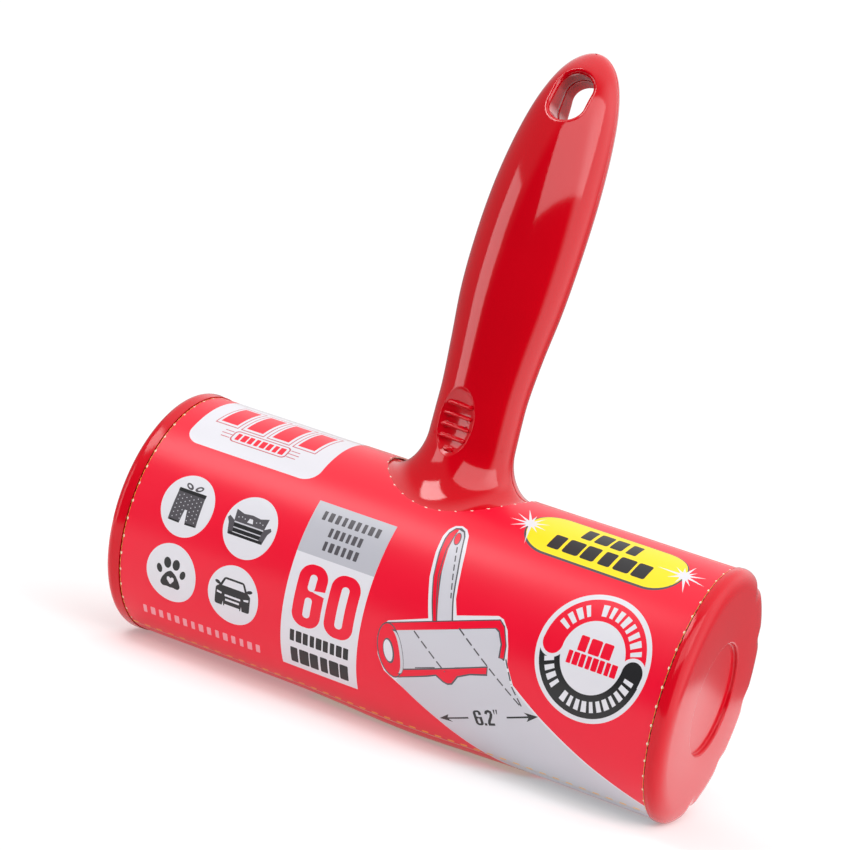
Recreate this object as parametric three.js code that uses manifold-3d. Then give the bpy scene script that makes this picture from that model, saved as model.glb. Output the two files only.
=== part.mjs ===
// A lint roller: a drum-shaped case with a handle, the sticky roll inside it, a turning cover that
// shuts the case, and the printed paper sleeve that it is sold in.
// Millimetres. +X runs along the roll, +Z up along the handle, and the front faces -Y.
// Heights named "rise" are measured up from the roll's axis. Angles on the drum are in degrees,
// 0 at the front, 90 at the top, 180 at the back and -90 at the bottom.
import * as THREE from "three";
import { mergeVertices } from "three/addons/utils/BufferGeometryUtils.js";
import Module from "manifold-3d";

const wasm = await Module();
wasm.setup();

// ---- Drum ----
const CAP_RADIUS = 35.4; // the roller lies on its end caps
const AXIS_Z = CAP_RADIUS;
const GAP = 0.3; // between neighbouring pieces
const CASE = { inner: 32.2, outer: 34.2, halfLength: 81.0, windowTop: 48, windowBottom: -80 };
const SLEEVE = { inner: 34.5, outer: 35.0, halfLength: 81.0, neckHole: 22 };
const PERFORATION = -64; // where the front panel tears off
const REAR_PANEL_END = -91.8; // where the back panel's glued seam begins
const TEAR_GAP = 0.3; // degrees left on each side of a tear line
const GLUE = { from: -75, to: -91.5, left: -24, right: 43, outer: 35.2 };
const ARC_STEP = 5; // degrees to one facet of a drum arc
const ROUND = 40; // facets round a full turn
const CAP_ROUND = 64; // facets round an end cap

// ---- End caps, as distances along the roll from the middle ----
const CAP = {
  ledge: 81.3,
  shoulder: 81.9,
  face: 85.2,
  faceRadius: 29.4,
  recessRadius: 15.6,
  recessFloor: 84,
  rimFillet: 0.7,
  innerFace: 83.0,
  bossRadius: 18.5,
  bossFace: 80.7,
  skirtEnd: 80.0,
  skirtOuter: 31.9,
  skirtInner: 30.2,
  spigotRadius: 5,
  spigotEnd: 71.2,
};

// ---- Turning cover ----
const COVER = { inner: 30.3, outer: 31.8, halfLength: 76.7, edge: -77, span: 126 };
const COVER_RING = { inner: 28.2, outer: 31.8, from: 77.0, to: 79.4 };
const THUMB_TAB = { outer: 34.1, halfLength: 11, span: 2.5 };

// ---- Roll and spool ----
const ROLL_HALF_LENGTH = 78.75; // the sheets are 157.5 wide
const TAPE = { inner: 20.3, outer: 27.0 };
const LEADING_SHEET = { inner: 27.2, outer: 27.5, from: -70, to: 262 };
const CORE = { inner: 18.6, outer: 20.0 };
const HUB = { bore: 5.3, plug: 18.3, plugEnd: 66, flange: 24, flangeFrom: 79.05, flangeTo: 79.9 };
const HUB_TUBE = { inner: 8, outer: 10, halfLength: 65.7 };
const WASHER = { inner: 5.4, outer: 9, from: 80.1, to: 80.5 };

// ---- Handle ----
const HANDLE_SEGMENTS = 28;
const HANDLE_WALL = 2.2;
const HANDLE_TOP = 156.6;
// The outline from the front: rise and half width.
const OUTLINE = [
  [48, 12.5],
  [60, 12.4],
  [72, 13.3],
  [86, 14.7],
  [100, 15.2],
  [114, 15.0],
  [126, 14.1],
  [136, 12.7],
  [143, 11.1],
  [149, 8.9],
  [153, 6.4],
  [155.7, 3.2],
];
const OUTLINE_RINGS = 18;
// Half depth as a share of half width: the rise where each share holds.
const DEPTH_SHARE = [
  [48, 0.84],
  [100, 0.8],
  [156, 0.88],
];
const NECK = { bowStart: 30, bowEnd: 62, bow: -2, lean: 0.00165 };
const FLARE_RINGS = [25, 28, 31, 34.2, 34.8, 36, 38.5, 41.5, 45];
const SIDE_FLARE = { top: 44.7, radius: 10.5 };
const FRONT_FLARE = { top: 46.7, radius: 23 };
const CAVITY = { from: 36, to: 151 };
const HANG_SLOT = { rise: 141.8, width: 10.4, height: 15.5, tiltDeg: 12, wall: 2 };
const PARTING = { from: 10, to: 170, step: 5, half: GAP / 2, reach: 60, halfLength: 100 };
const THUMB_PAD = { middleX: -2.4, rise: 50.7, halfWidth: 5.5, halfHeight: 9.5, depth: 1.6 };
const PAD_RIBS = { rises: [46, 49.1, 52.2, 55.3], radius: 0.7, lengths: [6.4, 7.2, 7.2, 6.2] };
const SCREW = {
  rises: [74, 112],
  shankRadius: 1.4,
  headRadius: 2.9,
  headHeight: 2.2,
  recess: 4,
  depthPastSeam: 6,
  bossRadius: 5,
};

const degrees = THREE.MathUtils.degToRad;

// ---- Solids ----

// A closed geometry as a manifold solid, turned right way out.
function toSolid(geometry) {
  const loose = geometry.index ? geometry.toNonIndexed() : geometry;
  const plain = new THREE.BufferGeometry();
  plain.setAttribute("position", loose.getAttribute("position"));
  const merged = mergeVertices(plain, 1e-4);
  const corners = [];
  for (let i = 0; i < merged.index.count; i += 3) {
    const [a, b, c] = [0, 1, 2].map((k) => merged.index.getX(i + k));
    if (a !== b && b !== c && c !== a) corners.push(a, b, c);
  }
  const make = (triangles) =>
    new wasm.Manifold(
      new wasm.Mesh({
        numProp: 3,
        vertProperties: merged.attributes.position.array,
        triVerts: new Uint32Array(triangles),
      }),
    );
  const solid = make(corners);
  return solid.volume() > 0 ? solid : make(corners.reverse());
}

// A manifold solid as a geometry with flat normals.
function toGeometry(solid) {
  const mesh = solid.getMesh();
  const geometry = new THREE.BufferGeometry();
  const positions = new Float32Array(mesh.numVert * 3);
  for (let i = 0; i < mesh.numVert; i++) {
    positions.set(mesh.vertProperties.subarray(i * mesh.numProp, i * mesh.numProp + 3), i * 3);
  }
  geometry.setAttribute("position", new THREE.BufferAttribute(positions, 3));
  geometry.setIndex(new THREE.BufferAttribute(mesh.triVerts, 1));
  const flat = geometry.toNonIndexed();
  flat.computeVertexNormals();
  return flat;
}

// A profile of [radius, x] points turned about the roll's axis. It starts and ends on the axis, or
// closes on itself.
function turnedAboutRoll(profile, segments = ROUND) {
  const points = profile.map(([radius, x]) => new THREE.Vector2(radius, x));
  const geometry = new THREE.LatheGeometry(points, segments);
  geometry.rotateZ(-Math.PI / 2);
  geometry.translate(0, 0, AXIS_Z);
  return toSolid(geometry);
}

// A plain tube or ring about the roll's axis.
function ring(inner, outer, from, to, segments = ROUND) {
  const profile = [
    [inner, from],
    [outer, from],
    [outer, to],
    [inner, to],
    [inner, from],
  ];
  return turnedAboutRoll(profile, segments);
}

// A plate bent round the roll's axis from one angle to another, between two radii.
function archedPlate(inner, outer, fromDeg, toDeg, left, right) {
  const steps = Math.ceil((toDeg - fromDeg) / ARC_STEP);
  const arc = (radius) =>
    Array.from({ length: steps + 1 }, (_, i) => {
      const angle = degrees(fromDeg + ((toDeg - fromDeg) * i) / steps);
      return new THREE.Vector2(-radius * Math.cos(angle), radius * Math.sin(angle));
    });
  const shape = new THREE.Shape([...arc(outer), ...arc(inner).reverse()]);
  const geometry = new THREE.ExtrudeGeometry(shape, { depth: right - left, bevelEnabled: false });
  const alongRoll = new THREE.Matrix4().set(0, 0, 1, left, 1, 0, 0, 0, 0, 1, 0, AXIS_Z, 0, 0, 0, 1);
  geometry.applyMatrix4(alongRoll);
  return toSolid(geometry);
}

// A round bar from one y to another, at a height above the roll's axis.
function barThrough(radius, fromY, toY, rise, segments = 24) {
  const geometry = new THREE.CylinderGeometry(radius, radius, toY - fromY, segments);
  geometry.translate(0, (fromY + toY) / 2, AXIS_Z + rise);
  return toSolid(geometry);
}

// ---- Handle shape ----

// Straight-line reading of a table of [rise, value] pairs.
function lookUp(table, rise) {
  const next = table.findIndex(([at]) => at > rise);
  if (next === 0) return table[0][1];
  if (next < 0) return table[table.length - 1][1];
  const [a, b] = [table[next - 1], table[next]];
  return THREE.MathUtils.mapLinear(rise, a[0], b[0], a[1], b[1]);
}

// The y of the handle's middle: bowed forward at the neck, leaning back towards the top.
function middleY(rise) {
  if (rise > NECK.bowEnd) return NECK.bow + NECK.lean * (rise - NECK.bowEnd) ** 2;
  const share = THREE.MathUtils.clamp((rise - NECK.bowStart) / (NECK.bowEnd - NECK.bowStart), 0, 1);
  return NECK.bow * Math.sin((share * Math.PI) / 2);
}

// How far a fillet of the given radius stands out, below the height where it starts.
function flareAt(rise, { top, radius }) {
  const drop = THREE.MathUtils.clamp(top - rise, 0, radius);
  return radius - Math.sqrt(radius ** 2 - drop ** 2);
}

// Half width, half depth and middle of each level of the handle, from the drum to the tip.
function handleLevels() {
  const outline = new THREE.SplineCurve(OUTLINE.map(([rise, half]) => new THREE.Vector2(rise, half)));
  const upper = outline.getPoints(OUTLINE_RINGS).map(({ x, y }) => ({ rise: x, half: y }));
  const lower = FLARE_RINGS.map((rise) => ({ rise, half: OUTLINE[0][1] }));
  return [...lower, ...upper].map(({ rise, half }) => ({
    rise,
    width: half + flareAt(rise, SIDE_FLARE),
    depth: half * lookUp(DEPTH_SHARE, rise) + flareAt(rise, FRONT_FLARE),
    middle: middleY(rise),
    plainWidth: half,
    plainDepth: half * lookUp(DEPTH_SHARE, rise),
  }));
}

// Ellipses stacked into one closed body, with a point at each end.
function stackedEllipses(levels, bottomRise, topRise) {
  const positions = [];
  const triangles = [];
  const n = HANDLE_SEGMENTS;
  for (const { rise, width, depth, middle } of levels) {
    for (let i = 0; i < n; i++) {
      const turn = (2 * Math.PI * i) / n;
      positions.push(width * Math.cos(turn), middle + depth * Math.sin(turn), AXIS_Z + rise);
    }
  }
  const bottom = positions.length / 3;
  positions.push(0, levels[0].middle, AXIS_Z + bottomRise);
  positions.push(0, levels[levels.length - 1].middle, AXIS_Z + topRise);
  for (let i = 0; i < n; i++) {
    const j = (i + 1) % n;
    triangles.push(bottom, j, i);
    for (let level = 0; level + 1 < levels.length; level++) {
      const [a, b] = [level * n, (level + 1) * n];
      triangles.push(a + i, a + j, b + j, a + i, b + j, b + i);
    }
    const last = (levels.length - 1) * n;
    triangles.push(bottom + 1, last + i, last + j);
  }
  const geometry = new THREE.BufferGeometry();
  geometry.setAttribute("position", new THREE.Float32BufferAttribute(positions, 3));
  geometry.setIndex(triangles);
  return toSolid(geometry);
}

function handleOutside() {
  const levels = handleLevels();
  return stackedEllipses(levels, levels[0].rise, HANDLE_TOP);
}

function handleHollow() {
  const levels = handleLevels()
    .filter(({ rise }) => rise >= CAVITY.from && rise <= CAVITY.to)
    .map((level) => ({
      ...level,
      width: level.plainWidth - HANDLE_WALL,
      depth: level.plainDepth - HANDLE_WALL,
    }));
  return stackedEllipses(levels, levels[0].rise, levels[levels.length - 1].rise);
}

// The hanging slot's outline grown by a margin, as a bar through the handle along its own tilt.
function hangSlotBar(margin) {
  const half = HANG_SLOT.width / 2 + margin;
  const straight = (HANG_SLOT.height - HANG_SLOT.width) / 2;
  const shape = new THREE.Shape();
  shape.absarc(0, straight, half, 0, Math.PI, false);
  shape.absarc(0, -straight, half, Math.PI, 2 * Math.PI, false);
  const length = PARTING.reach;
  const options = { depth: length, bevelEnabled: false, curveSegments: 7 };
  const geometry = new THREE.ExtrudeGeometry(shape, options);
  geometry.translate(0, 0, -length / 2);
  geometry.rotateX(Math.PI / 2 - degrees(HANG_SLOT.tiltDeg));
  geometry.translate(0, middleY(HANG_SLOT.rise), AXIS_Z + HANG_SLOT.rise);
  return toSolid(geometry);
}

// Everything in front of the handle's seam, moved back by an offset.
function inFrontOfSeam(offset) {
  const seam = [];
  for (let rise = PARTING.from; rise <= PARTING.to; rise += PARTING.step) {
    seam.push(new THREE.Vector2(middleY(rise) + offset, rise));
  }
  const front = -PARTING.reach;
  const shape = new THREE.Shape([
    new THREE.Vector2(front, PARTING.from),
    ...seam,
    new THREE.Vector2(front, PARTING.to),
  ]);
  const length = 2 * PARTING.halfLength;
  const geometry = new THREE.ExtrudeGeometry(shape, { depth: length, bevelEnabled: false });
  const alongRoll = new THREE.Matrix4();
  alongRoll.set(0, 0, 1, -PARTING.halfLength, 1, 0, 0, 0, 0, 1, 0, AXIS_Z, 0, 0, 0, 1);
  geometry.applyMatrix4(alongRoll);
  return toSolid(geometry);
}

// The y where a screw's head sits: a little under the handle's back.
function screwSeatY(rise) {
  const half = lookUp(OUTLINE, rise);
  return middleY(rise) + half * lookUp(DEPTH_SHARE, rise) - SCREW.recess - SCREW.headHeight;
}

function screwTipY(rise) {
  return middleY(rise) - SCREW.depthPastSeam;
}

// The stepped hole that a handle screw goes into from behind.
function screwHole(rise) {
  const seat = screwSeatY(rise) - GAP;
  const shank = barThrough(SCREW.shankRadius + GAP, screwTipY(rise) - GAP, seat + 1, rise, 16);
  return shank.add(barThrough(SCREW.headRadius + GAP, seat, PARTING.reach / 2, rise, 20));
}

// The shallow thumb rest low on the handle's front, and the grip ribs across it.
function padSurfaceY() {
  const half = OUTLINE[0][1];
  return middleY(THUMB_PAD.rise) - half * DEPTH_SHARE[0][1];
}

function thumbScoop() {
  const geometry = new THREE.SphereGeometry(1, 18, 10);
  geometry.scale(THUMB_PAD.halfWidth, THUMB_PAD.depth, THUMB_PAD.halfHeight);
  geometry.translate(THUMB_PAD.middleX, padSurfaceY(), AXIS_Z + THUMB_PAD.rise);
  return toSolid(geometry);
}

function padRib(rise, length) {
  const { radius } = PAD_RIBS;
  const geometry = new THREE.CapsuleGeometry(radius, length - 2 * radius, 2, 8);
  geometry.rotateZ(Math.PI / 2);
  geometry.translate(THUMB_PAD.middleX, padSurfaceY() + THUMB_PAD.depth, AXIS_Z + rise);
  return toSolid(geometry);
}

// The whole moulded case with its handle, before it is parted.
function caseBody() {
  const hollow = handleHollow().subtract(hangSlotBar(HANG_SLOT.wall));
  const bosses = SCREW.rises.map((rise) => {
    return barThrough(SCREW.bossRadius, -PARTING.reach / 2, PARTING.reach / 2, rise);
  });
  const openHollow = bosses.reduce((left, boss) => left.subtract(boss), hollow);
  let body = handleOutside().subtract(openHollow);
  body = body.subtract(thumbScoop());
  PAD_RIBS.rises.forEach((rise, i) => {
    body = body.add(padRib(rise, PAD_RIBS.lengths[i]));
  });
  body = body.subtract(turnedAboutRoll(discProfile(CASE.inner, CASE.halfLength)));
  const { inner, outer, windowTop, windowBottom, halfLength } = CASE;
  const wallEnd = windowBottom + 360;
  body = body.add(archedPlate(inner, outer, windowTop, wallEnd, -halfLength, halfLength));
  body = body.subtract(hangSlotBar(0)).subtract(sleeveBed());
  return SCREW.rises.reduce((left, rise) => left.subtract(screwHole(rise)), body);
}

// The room that the sleeve needs round the foot of the handle's flare.
function sleeveBed() {
  const { halfLength } = CASE;
  const band = archedPlate(CASE.outer, CAP_RADIUS + 1, 30, 150, -halfLength - 1, halfLength + 1);
  return band.subtract(neckHoleBar(SLEEVE.neckHole - GAP));
}

function discProfile(radius, halfLength) {
  return [
    [0, -halfLength],
    [radius, -halfLength],
    [radius, halfLength],
    [0, halfLength],
  ];
}

// ---- End caps ----

// side is +1 for the right cap and -1 for the left.
function endCap(side) {
  const c = CAP;
  const shoulderCurve = new THREE.EllipseCurve(
    c.faceRadius,
    c.shoulder,
    CAP_RADIUS - c.faceRadius,
    c.face - c.shoulder,
    Math.PI / 2,
    0,
    true,
  );
  const shoulder = shoulderCurve.getPoints(5).map(({ x, y }) => [x, y]);
  const profile = [
    [0, c.recessFloor],
    [c.recessRadius - c.rimFillet, c.recessFloor],
    [c.recessRadius, c.recessFloor + c.rimFillet],
    [c.recessRadius, c.face - c.rimFillet],
    [c.recessRadius + c.rimFillet, c.face],
    ...shoulder,
    [CAP_RADIUS, c.ledge],
    [c.skirtOuter, c.ledge],
    [c.skirtOuter, c.skirtEnd],
    [c.skirtInner, c.skirtEnd],
    [c.skirtInner, c.innerFace - 1],
    [c.skirtInner - 1, c.innerFace],
    [c.bossRadius, c.innerFace],
    [c.bossRadius, c.bossFace],
    [c.spigotRadius, c.bossFace],
    [c.spigotRadius, c.spigotEnd],
    [0, c.spigotEnd],
  ];
  return turnedAboutRoll(profile.map(([radius, x]) => [radius, side * x]), CAP_ROUND);
}

// ---- Sleeve ----

function neckHoleBar(radius = SLEEVE.neckHole) {
  const height = 2 * CAP_RADIUS;
  const bar = new THREE.CylinderGeometry(radius, radius, height, ROUND);
  bar.rotateX(Math.PI / 2);
  bar.translate(0, 0, AXIS_Z + height / 2);
  return toSolid(bar);
}

function sleevePart(fromDeg, toDeg) {
  const { inner, outer, halfLength } = SLEEVE;
  return archedPlate(inner, outer, fromDeg, toDeg, -halfLength, halfLength);
}

function sleeveFrontPanel() {
  return sleevePart(PERFORATION + TEAR_GAP, 90 - TEAR_GAP).subtract(neckHoleBar());
}

function sleeveRearPanel() {
  return sleevePart(90 + TEAR_GAP, REAR_PANEL_END - TEAR_GAP + 360).subtract(neckHoleBar());
}

function sleeveSeamStrip() {
  const strip = sleevePart(REAR_PANEL_END + TEAR_GAP, PERFORATION - TEAR_GAP);
  const { from, to, left, right } = GLUE;
  const room = archedPlate(SLEEVE.inner - 1, SLEEVE.outer + 1, to - 1, from + 0.6, left - GAP, right + GAP);
  return strip.subtract(room);
}

function sleeveGlueStrip() {
  return archedPlate(SLEEVE.inner, GLUE.outer, GLUE.to, GLUE.from, GLUE.left, GLUE.right);
}

// ---- Turning cover ----

function coverShell() {
  const { inner, outer, halfLength, edge, span } = COVER;
  const shell = archedPlate(inner, outer, edge - span, edge, -halfLength, halfLength);
  const { outer: tabOuter, halfLength: tabHalf, span: tabSpan } = THUMB_TAB;
  return shell.add(archedPlate(inner, tabOuter, edge - tabSpan, edge, -tabHalf, tabHalf));
}

function coverRing(side) {
  const ends = [side * COVER_RING.from, side * COVER_RING.to];
  return ring(COVER_RING.inner, COVER_RING.outer, Math.min(...ends), Math.max(...ends), CAP_ROUND);
}

// ---- Roll and spool ----

function hub(side) {
  const profile = [
    [HUB.bore, HUB.plugEnd],
    [HUB.plug, HUB.plugEnd],
    [HUB.plug, HUB.flangeFrom],
    [HUB.flange, HUB.flangeFrom],
    [HUB.flange, HUB.flangeTo],
    [HUB.bore, HUB.flangeTo],
    [HUB.bore, HUB.plugEnd],
  ];
  return turnedAboutRoll(profile.map(([radius, x]) => [radius, side * x]));
}

function washer(side) {
  const ends = [side * WASHER.from, side * WASHER.to];
  return ring(WASHER.inner, WASHER.outer, Math.min(...ends), Math.max(...ends));
}

// ---- Screws ----

function handleScrew(rise) {
  const seat = screwSeatY(rise);
  const tip = screwTipY(rise);
  const top = seat + SCREW.headHeight;
  const chamfer = 0.4;
  const profile = [
    [0, tip],
    [SCREW.shankRadius, tip],
    [SCREW.shankRadius, seat],
    [SCREW.headRadius, seat],
    [SCREW.headRadius, top - chamfer],
    [SCREW.headRadius - chamfer, top],
    [0, top],
  ];
  const points = profile.map(([radius, y]) => new THREE.Vector2(radius, y));
  const geometry = new THREE.LatheGeometry(points, 20);
  geometry.translate(0, 0, AXIS_Z + rise);
  return toSolid(geometry);
}

// ---- Materials ----

const finish = (color, roughness, metalness = 0) => {
  return new THREE.MeshStandardMaterial({ color, roughness, metalness });
};
const redPlastic = () => finish(0xd80f23, 0.16);
const printedPaper = () => finish(0xe2182f, 0.42);
const whitePlastic = () => finish(0xe9e7e2, 0.4);

// ---- Assembly ----

const group = new THREE.Group();

function place(name, solid, material) {
  const mesh = new THREE.Mesh(toGeometry(solid), material);
  mesh.name = name;
  group.add(mesh);
}

const body = caseBody();
place("front_shell", body.intersect(inFrontOfSeam(-PARTING.half)), redPlastic());
place("rear_shell", body.subtract(inFrontOfSeam(PARTING.half)), redPlastic());
for (const [name, side] of [
  ["left", -1],
  ["right", 1],
]) {
  place(name + "_end_cap", endCap(side), redPlastic());
  place("cover_" + name + "_ring", coverRing(side), redPlastic());
  place(name + "_hub", hub(side), whitePlastic());
  place(name + "_washer", washer(side), finish(0xf4f2ea, 0.5));
}
for (const [name, rise] of [
  ["lower", SCREW.rises[0]],
  ["upper", SCREW.rises[1]],
]) {
  place("handle_screw_" + name, handleScrew(rise), finish(0xb9bcc0, 0.3, 1));
}
place("sleeve_front_panel", sleeveFrontPanel(), printedPaper());
place("sleeve_rear_panel", sleeveRearPanel(), printedPaper());
place("sleeve_seam_strip", sleeveSeamStrip(), printedPaper());
place("sleeve_glue_strip", sleeveGlueStrip(), finish(0xe0a012, 0.3));
place("cover_shell", coverShell(), redPlastic());
const rollEnds = [-ROLL_HALF_LENGTH, ROLL_HALF_LENGTH];
place("tape_roll", ring(TAPE.inner, TAPE.outer, ...rollEnds, CAP_ROUND), finish(0xf1efe8, 0.5));
const { inner: sheetInner, outer: sheetOuter, from: sheetFrom, to: sheetTo } = LEADING_SHEET;
const leadingSheet = archedPlate(sheetInner, sheetOuter, sheetFrom, sheetTo, ...rollEnds);
place("leading_sheet", leadingSheet, finish(0xf5f3ee, 0.45));
place("cardboard_core", ring(CORE.inner, CORE.outer, ...rollEnds), finish(0xb0906a, 0.85));
const tubeEnds = [-HUB_TUBE.halfLength, HUB_TUBE.halfLength];
place("hub_tube", ring(HUB_TUBE.inner, HUB_TUBE.outer, ...tubeEnds), whitePlastic());

export default group;
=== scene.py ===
"""Looks of a lint roller: glossy moulded case with its handle, printed paper sleeve, cover and sticky roll.

Sizes are in millimetres and become metres when a mesh is made. +X runs along the roll, +Z up the
handle, and the front faces -Y. A rise is a height above the roll's axis. An angle on the drum is 0 at
the front, 90 at the top, 180 at the back and -90 at the bottom.
"""

from __future__ import annotations

import logging
import math
from dataclasses import dataclass, field
from enum import Enum

import bmesh
import bpy
import numpy as np
from mathutils import Matrix, Vector
from mathutils.geometry import delaunay_2d_cdt

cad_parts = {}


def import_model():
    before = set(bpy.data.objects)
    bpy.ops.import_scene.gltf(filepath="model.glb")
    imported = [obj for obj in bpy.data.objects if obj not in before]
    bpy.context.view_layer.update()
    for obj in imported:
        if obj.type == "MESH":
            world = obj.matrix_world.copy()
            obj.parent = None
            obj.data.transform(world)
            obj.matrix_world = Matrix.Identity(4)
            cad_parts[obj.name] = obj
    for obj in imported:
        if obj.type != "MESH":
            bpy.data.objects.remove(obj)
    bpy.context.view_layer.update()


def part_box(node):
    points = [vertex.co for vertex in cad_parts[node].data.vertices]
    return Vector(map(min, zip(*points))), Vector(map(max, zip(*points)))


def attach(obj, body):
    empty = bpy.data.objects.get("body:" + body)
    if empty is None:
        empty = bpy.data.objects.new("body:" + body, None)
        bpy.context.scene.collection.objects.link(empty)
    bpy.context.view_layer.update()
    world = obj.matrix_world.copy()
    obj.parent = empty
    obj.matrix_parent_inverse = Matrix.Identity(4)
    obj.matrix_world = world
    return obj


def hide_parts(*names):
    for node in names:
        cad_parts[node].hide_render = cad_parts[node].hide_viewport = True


Array = np.ndarray
Pair = tuple[float, float]
Tree = bpy.types.NodeTree
Socket = bpy.types.NodeSocket
LOG = logging.getLogger("lint_roller")
MM = 0.001
WELD_MM = 0.004
SHARP_ANGLE = math.radians(38)
QUARTER_BEND = 1.657  # length of a Hermite tangent that bends a curve through a quarter circle


# ---------------------------------------------------------------------------------------------
# Finishes
# ---------------------------------------------------------------------------------------------


def linear(colour: str) -> tuple[float, float, float, float]:
    """Turn an sRGB hex colour into a linear one.

    Args:
        colour: six hex digits.

    Returns:
        Red, green, blue and full alpha.
    """
    share = np.array([int(colour[i : i + 2], 16) for i in (0, 2, 4)]) / 255.0
    line = np.where(share <= 0.04045, share / 12.92, ((share + 0.055) / 1.055) ** 2.4)
    return (float(line[0]), float(line[1]), float(line[2]), 1.0)


def add_node(
    tree: Tree, kind: str, settings: dict | None = None, inputs: dict | None = None
) -> bpy.types.Node:
    """Add one node.

    Args:
        tree: the node tree.
        kind: the node's type name.
        settings: values of the node's own properties.
        inputs: a value or another node's output for each named or numbered input.

    Returns:
        The new node.
    """
    node = tree.nodes.new(kind)
    for name, value in (settings or {}).items():
        setattr(node, name, value)
    for name, value in (inputs or {}).items():
        if isinstance(value, Socket):
            tree.links.new(value, node.inputs[name])
        else:
            node.inputs[name].default_value = value
    return node


@dataclass(frozen=True)
class Finish:
    """A surface made by moulding, printing or casting, with a fine relief and a little cloudiness.

    The cloud colour mixes into the base colour over patches of cloud_mm. The relief is a noise with
    grains of grain_mm that stand relief_mm high.
    """

    name: str
    base: str
    cloud: str
    roughness: float
    roughness_spread: float = 0.03
    specular: float = 0.5
    ior: float = 1.5
    metallic: float = 0.0
    coat: float = 0.0
    coat_roughness: float = 0.05
    cloud_mm: float = 30.0
    grain_mm: float = 1.0
    relief_mm: float = 0.004
    ripple_mm: float = 0.0
    ripple_spacing_mm: float = 14.0
    subsurface: float = 0.0
    glow: float = 0.0

    def material(self) -> bpy.types.Material:
        """Make the Blender material, or return the one made before.

        Returns:
            The material.
        """
        made = bpy.data.materials.get(self.name)
        if made is not None:
            return made
        made = bpy.data.materials.new(self.name)
        made.use_nodes = True
        tree = made.node_tree
        tree.nodes.clear()
        place = add_node(tree, "ShaderNodeTexCoord").outputs["Object"]
        clouds = self._noise(tree, place, self.cloud_mm, 2.0)
        mixed = add_node(
            tree,
            "ShaderNodeMix",
            {"data_type": "RGBA"},
            {0: clouds, 6: linear(self.base), 7: linear(self.cloud)},
        )
        grain = self._noise(tree, place, self.grain_mm, 3.0)
        rough = add_node(
            tree,
            "ShaderNodeMapRange",
            None,
            {
                "Value": grain,
                "To Min": max(0.02, self.roughness - self.roughness_spread),
                "To Max": self.roughness + self.roughness_spread,
            },
        )
        bump = add_node(
            tree, "ShaderNodeBump", None, {"Distance": self.relief_mm * MM, "Strength": 1.0, "Height": grain}
        )
        if self.ripple_mm > 0:
            ripple = self._noise(tree, place, self.ripple_spacing_mm, 0.0)
            bump = add_node(
                tree,
                "ShaderNodeBump",
                None,
                {
                    "Distance": self.ripple_mm * MM,
                    "Strength": 1.0,
                    "Height": ripple,
                    "Normal": bump.outputs["Normal"],
                },
            )
        shader = add_node(
            tree,
            "ShaderNodeBsdfPrincipled",
            None,
            {
                "Base Color": self.colour(tree, place, mixed.outputs[2]),
                "Roughness": rough.outputs["Result"],
                "Metallic": self.metallic,
                "Coat Weight": self.coat,
                "Coat Roughness": self.coat_roughness,
                "Normal": bump.outputs["Normal"],
            },
        )
        if self.metallic < 0.5:
            shader.inputs["IOR"].default_value = self.ior
            shader.inputs["Specular IOR Level"].default_value = self.specular
        if self.subsurface > 0:
            shader.inputs["Subsurface Weight"].default_value = self.subsurface
            shader.inputs["Subsurface Radius"].default_value = (1.2 * MM, 0.5 * MM, 0.4 * MM)
            shader.inputs["Subsurface Scale"].default_value = 1.0
        if self.glow > 0:
            shader.inputs["Emission Color"].default_value = linear(self.base)
            shader.inputs["Emission Strength"].default_value = self.glow
        add_node(tree, "ShaderNodeOutputMaterial", None, {"Surface": shader.outputs["BSDF"]})
        return made

    def colour(self, tree: Tree, place: Socket, cloudy: Socket) -> Socket:
        """Give the base colour's socket: the cloudy colour as it is."""
        return cloudy

    @staticmethod
    def _noise(tree: Tree, place: Socket, size_mm: float, detail: float) -> Socket:
        """Noise with features of about size_mm, on object coordinates in metres.

        Args:
            tree: the node tree.
            place: the object coordinates.
            size_mm: the features' size.
            detail: the number of finer layers.

        Returns:
            The noise, from 0 to 1.
        """
        noise = add_node(
            tree,
            "ShaderNodeTexNoise",
            {"noise_dimensions": "3D"},
            {"Vector": place, "Scale": 1.0 / (size_mm * MM), "Detail": detail, "Roughness": 0.5},
        )
        return noise.outputs[0]


@dataclass(frozen=True)
class LayeredFinish(Finish):
    """A roll of many thin layers: fine rings about the roll's axis, seen on its ends."""

    layer_mm: float = 0.55
    layer_colour: str = "c9c4b8"
    axis_height_mm: float = 35.4

    def colour(self, tree: Tree, place: Socket, cloudy: Socket) -> Socket:
        """Darken the colour between the layers, by a ring wave about the roll's axis.

        Args:
            tree: the node tree.
            place: the object coordinates.
            cloudy: the cloudy colour.

        Returns:
            The colour with its rings.
        """
        centred = add_node(
            tree, "ShaderNodeMapping", None, {"Vector": place, "Location": (0, 0, -self.axis_height_mm * MM)}
        )
        rings = add_node(
            tree,
            "ShaderNodeTexWave",
            {"wave_type": "RINGS", "rings_direction": "X"},
            {"Vector": centred.outputs[0], "Scale": 0.314 / (self.layer_mm * MM), "Distortion": 0.3},
        )
        mixed = add_node(
            tree,
            "ShaderNodeMix",
            {"data_type": "RGBA"},
            {0: rings.outputs[1], 6: linear(self.layer_colour), 7: cloudy},
        )
        return mixed.outputs[2]


# Polypropylene, moulded in a polished tool: deep red, mirror-like, with a very faint sink ripple.
CASE_PLASTIC = Finish(
    "polypropylene_red_polished_moulding",
    base="d20016",
    cloud="ca0014",
    roughness=0.085,
    roughness_spread=0.02,
    coat=0.08,
    coat_roughness=0.04,
    grain_mm=0.8,
    relief_mm=0.0006,
    ripple_mm=0.012,
)
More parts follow.
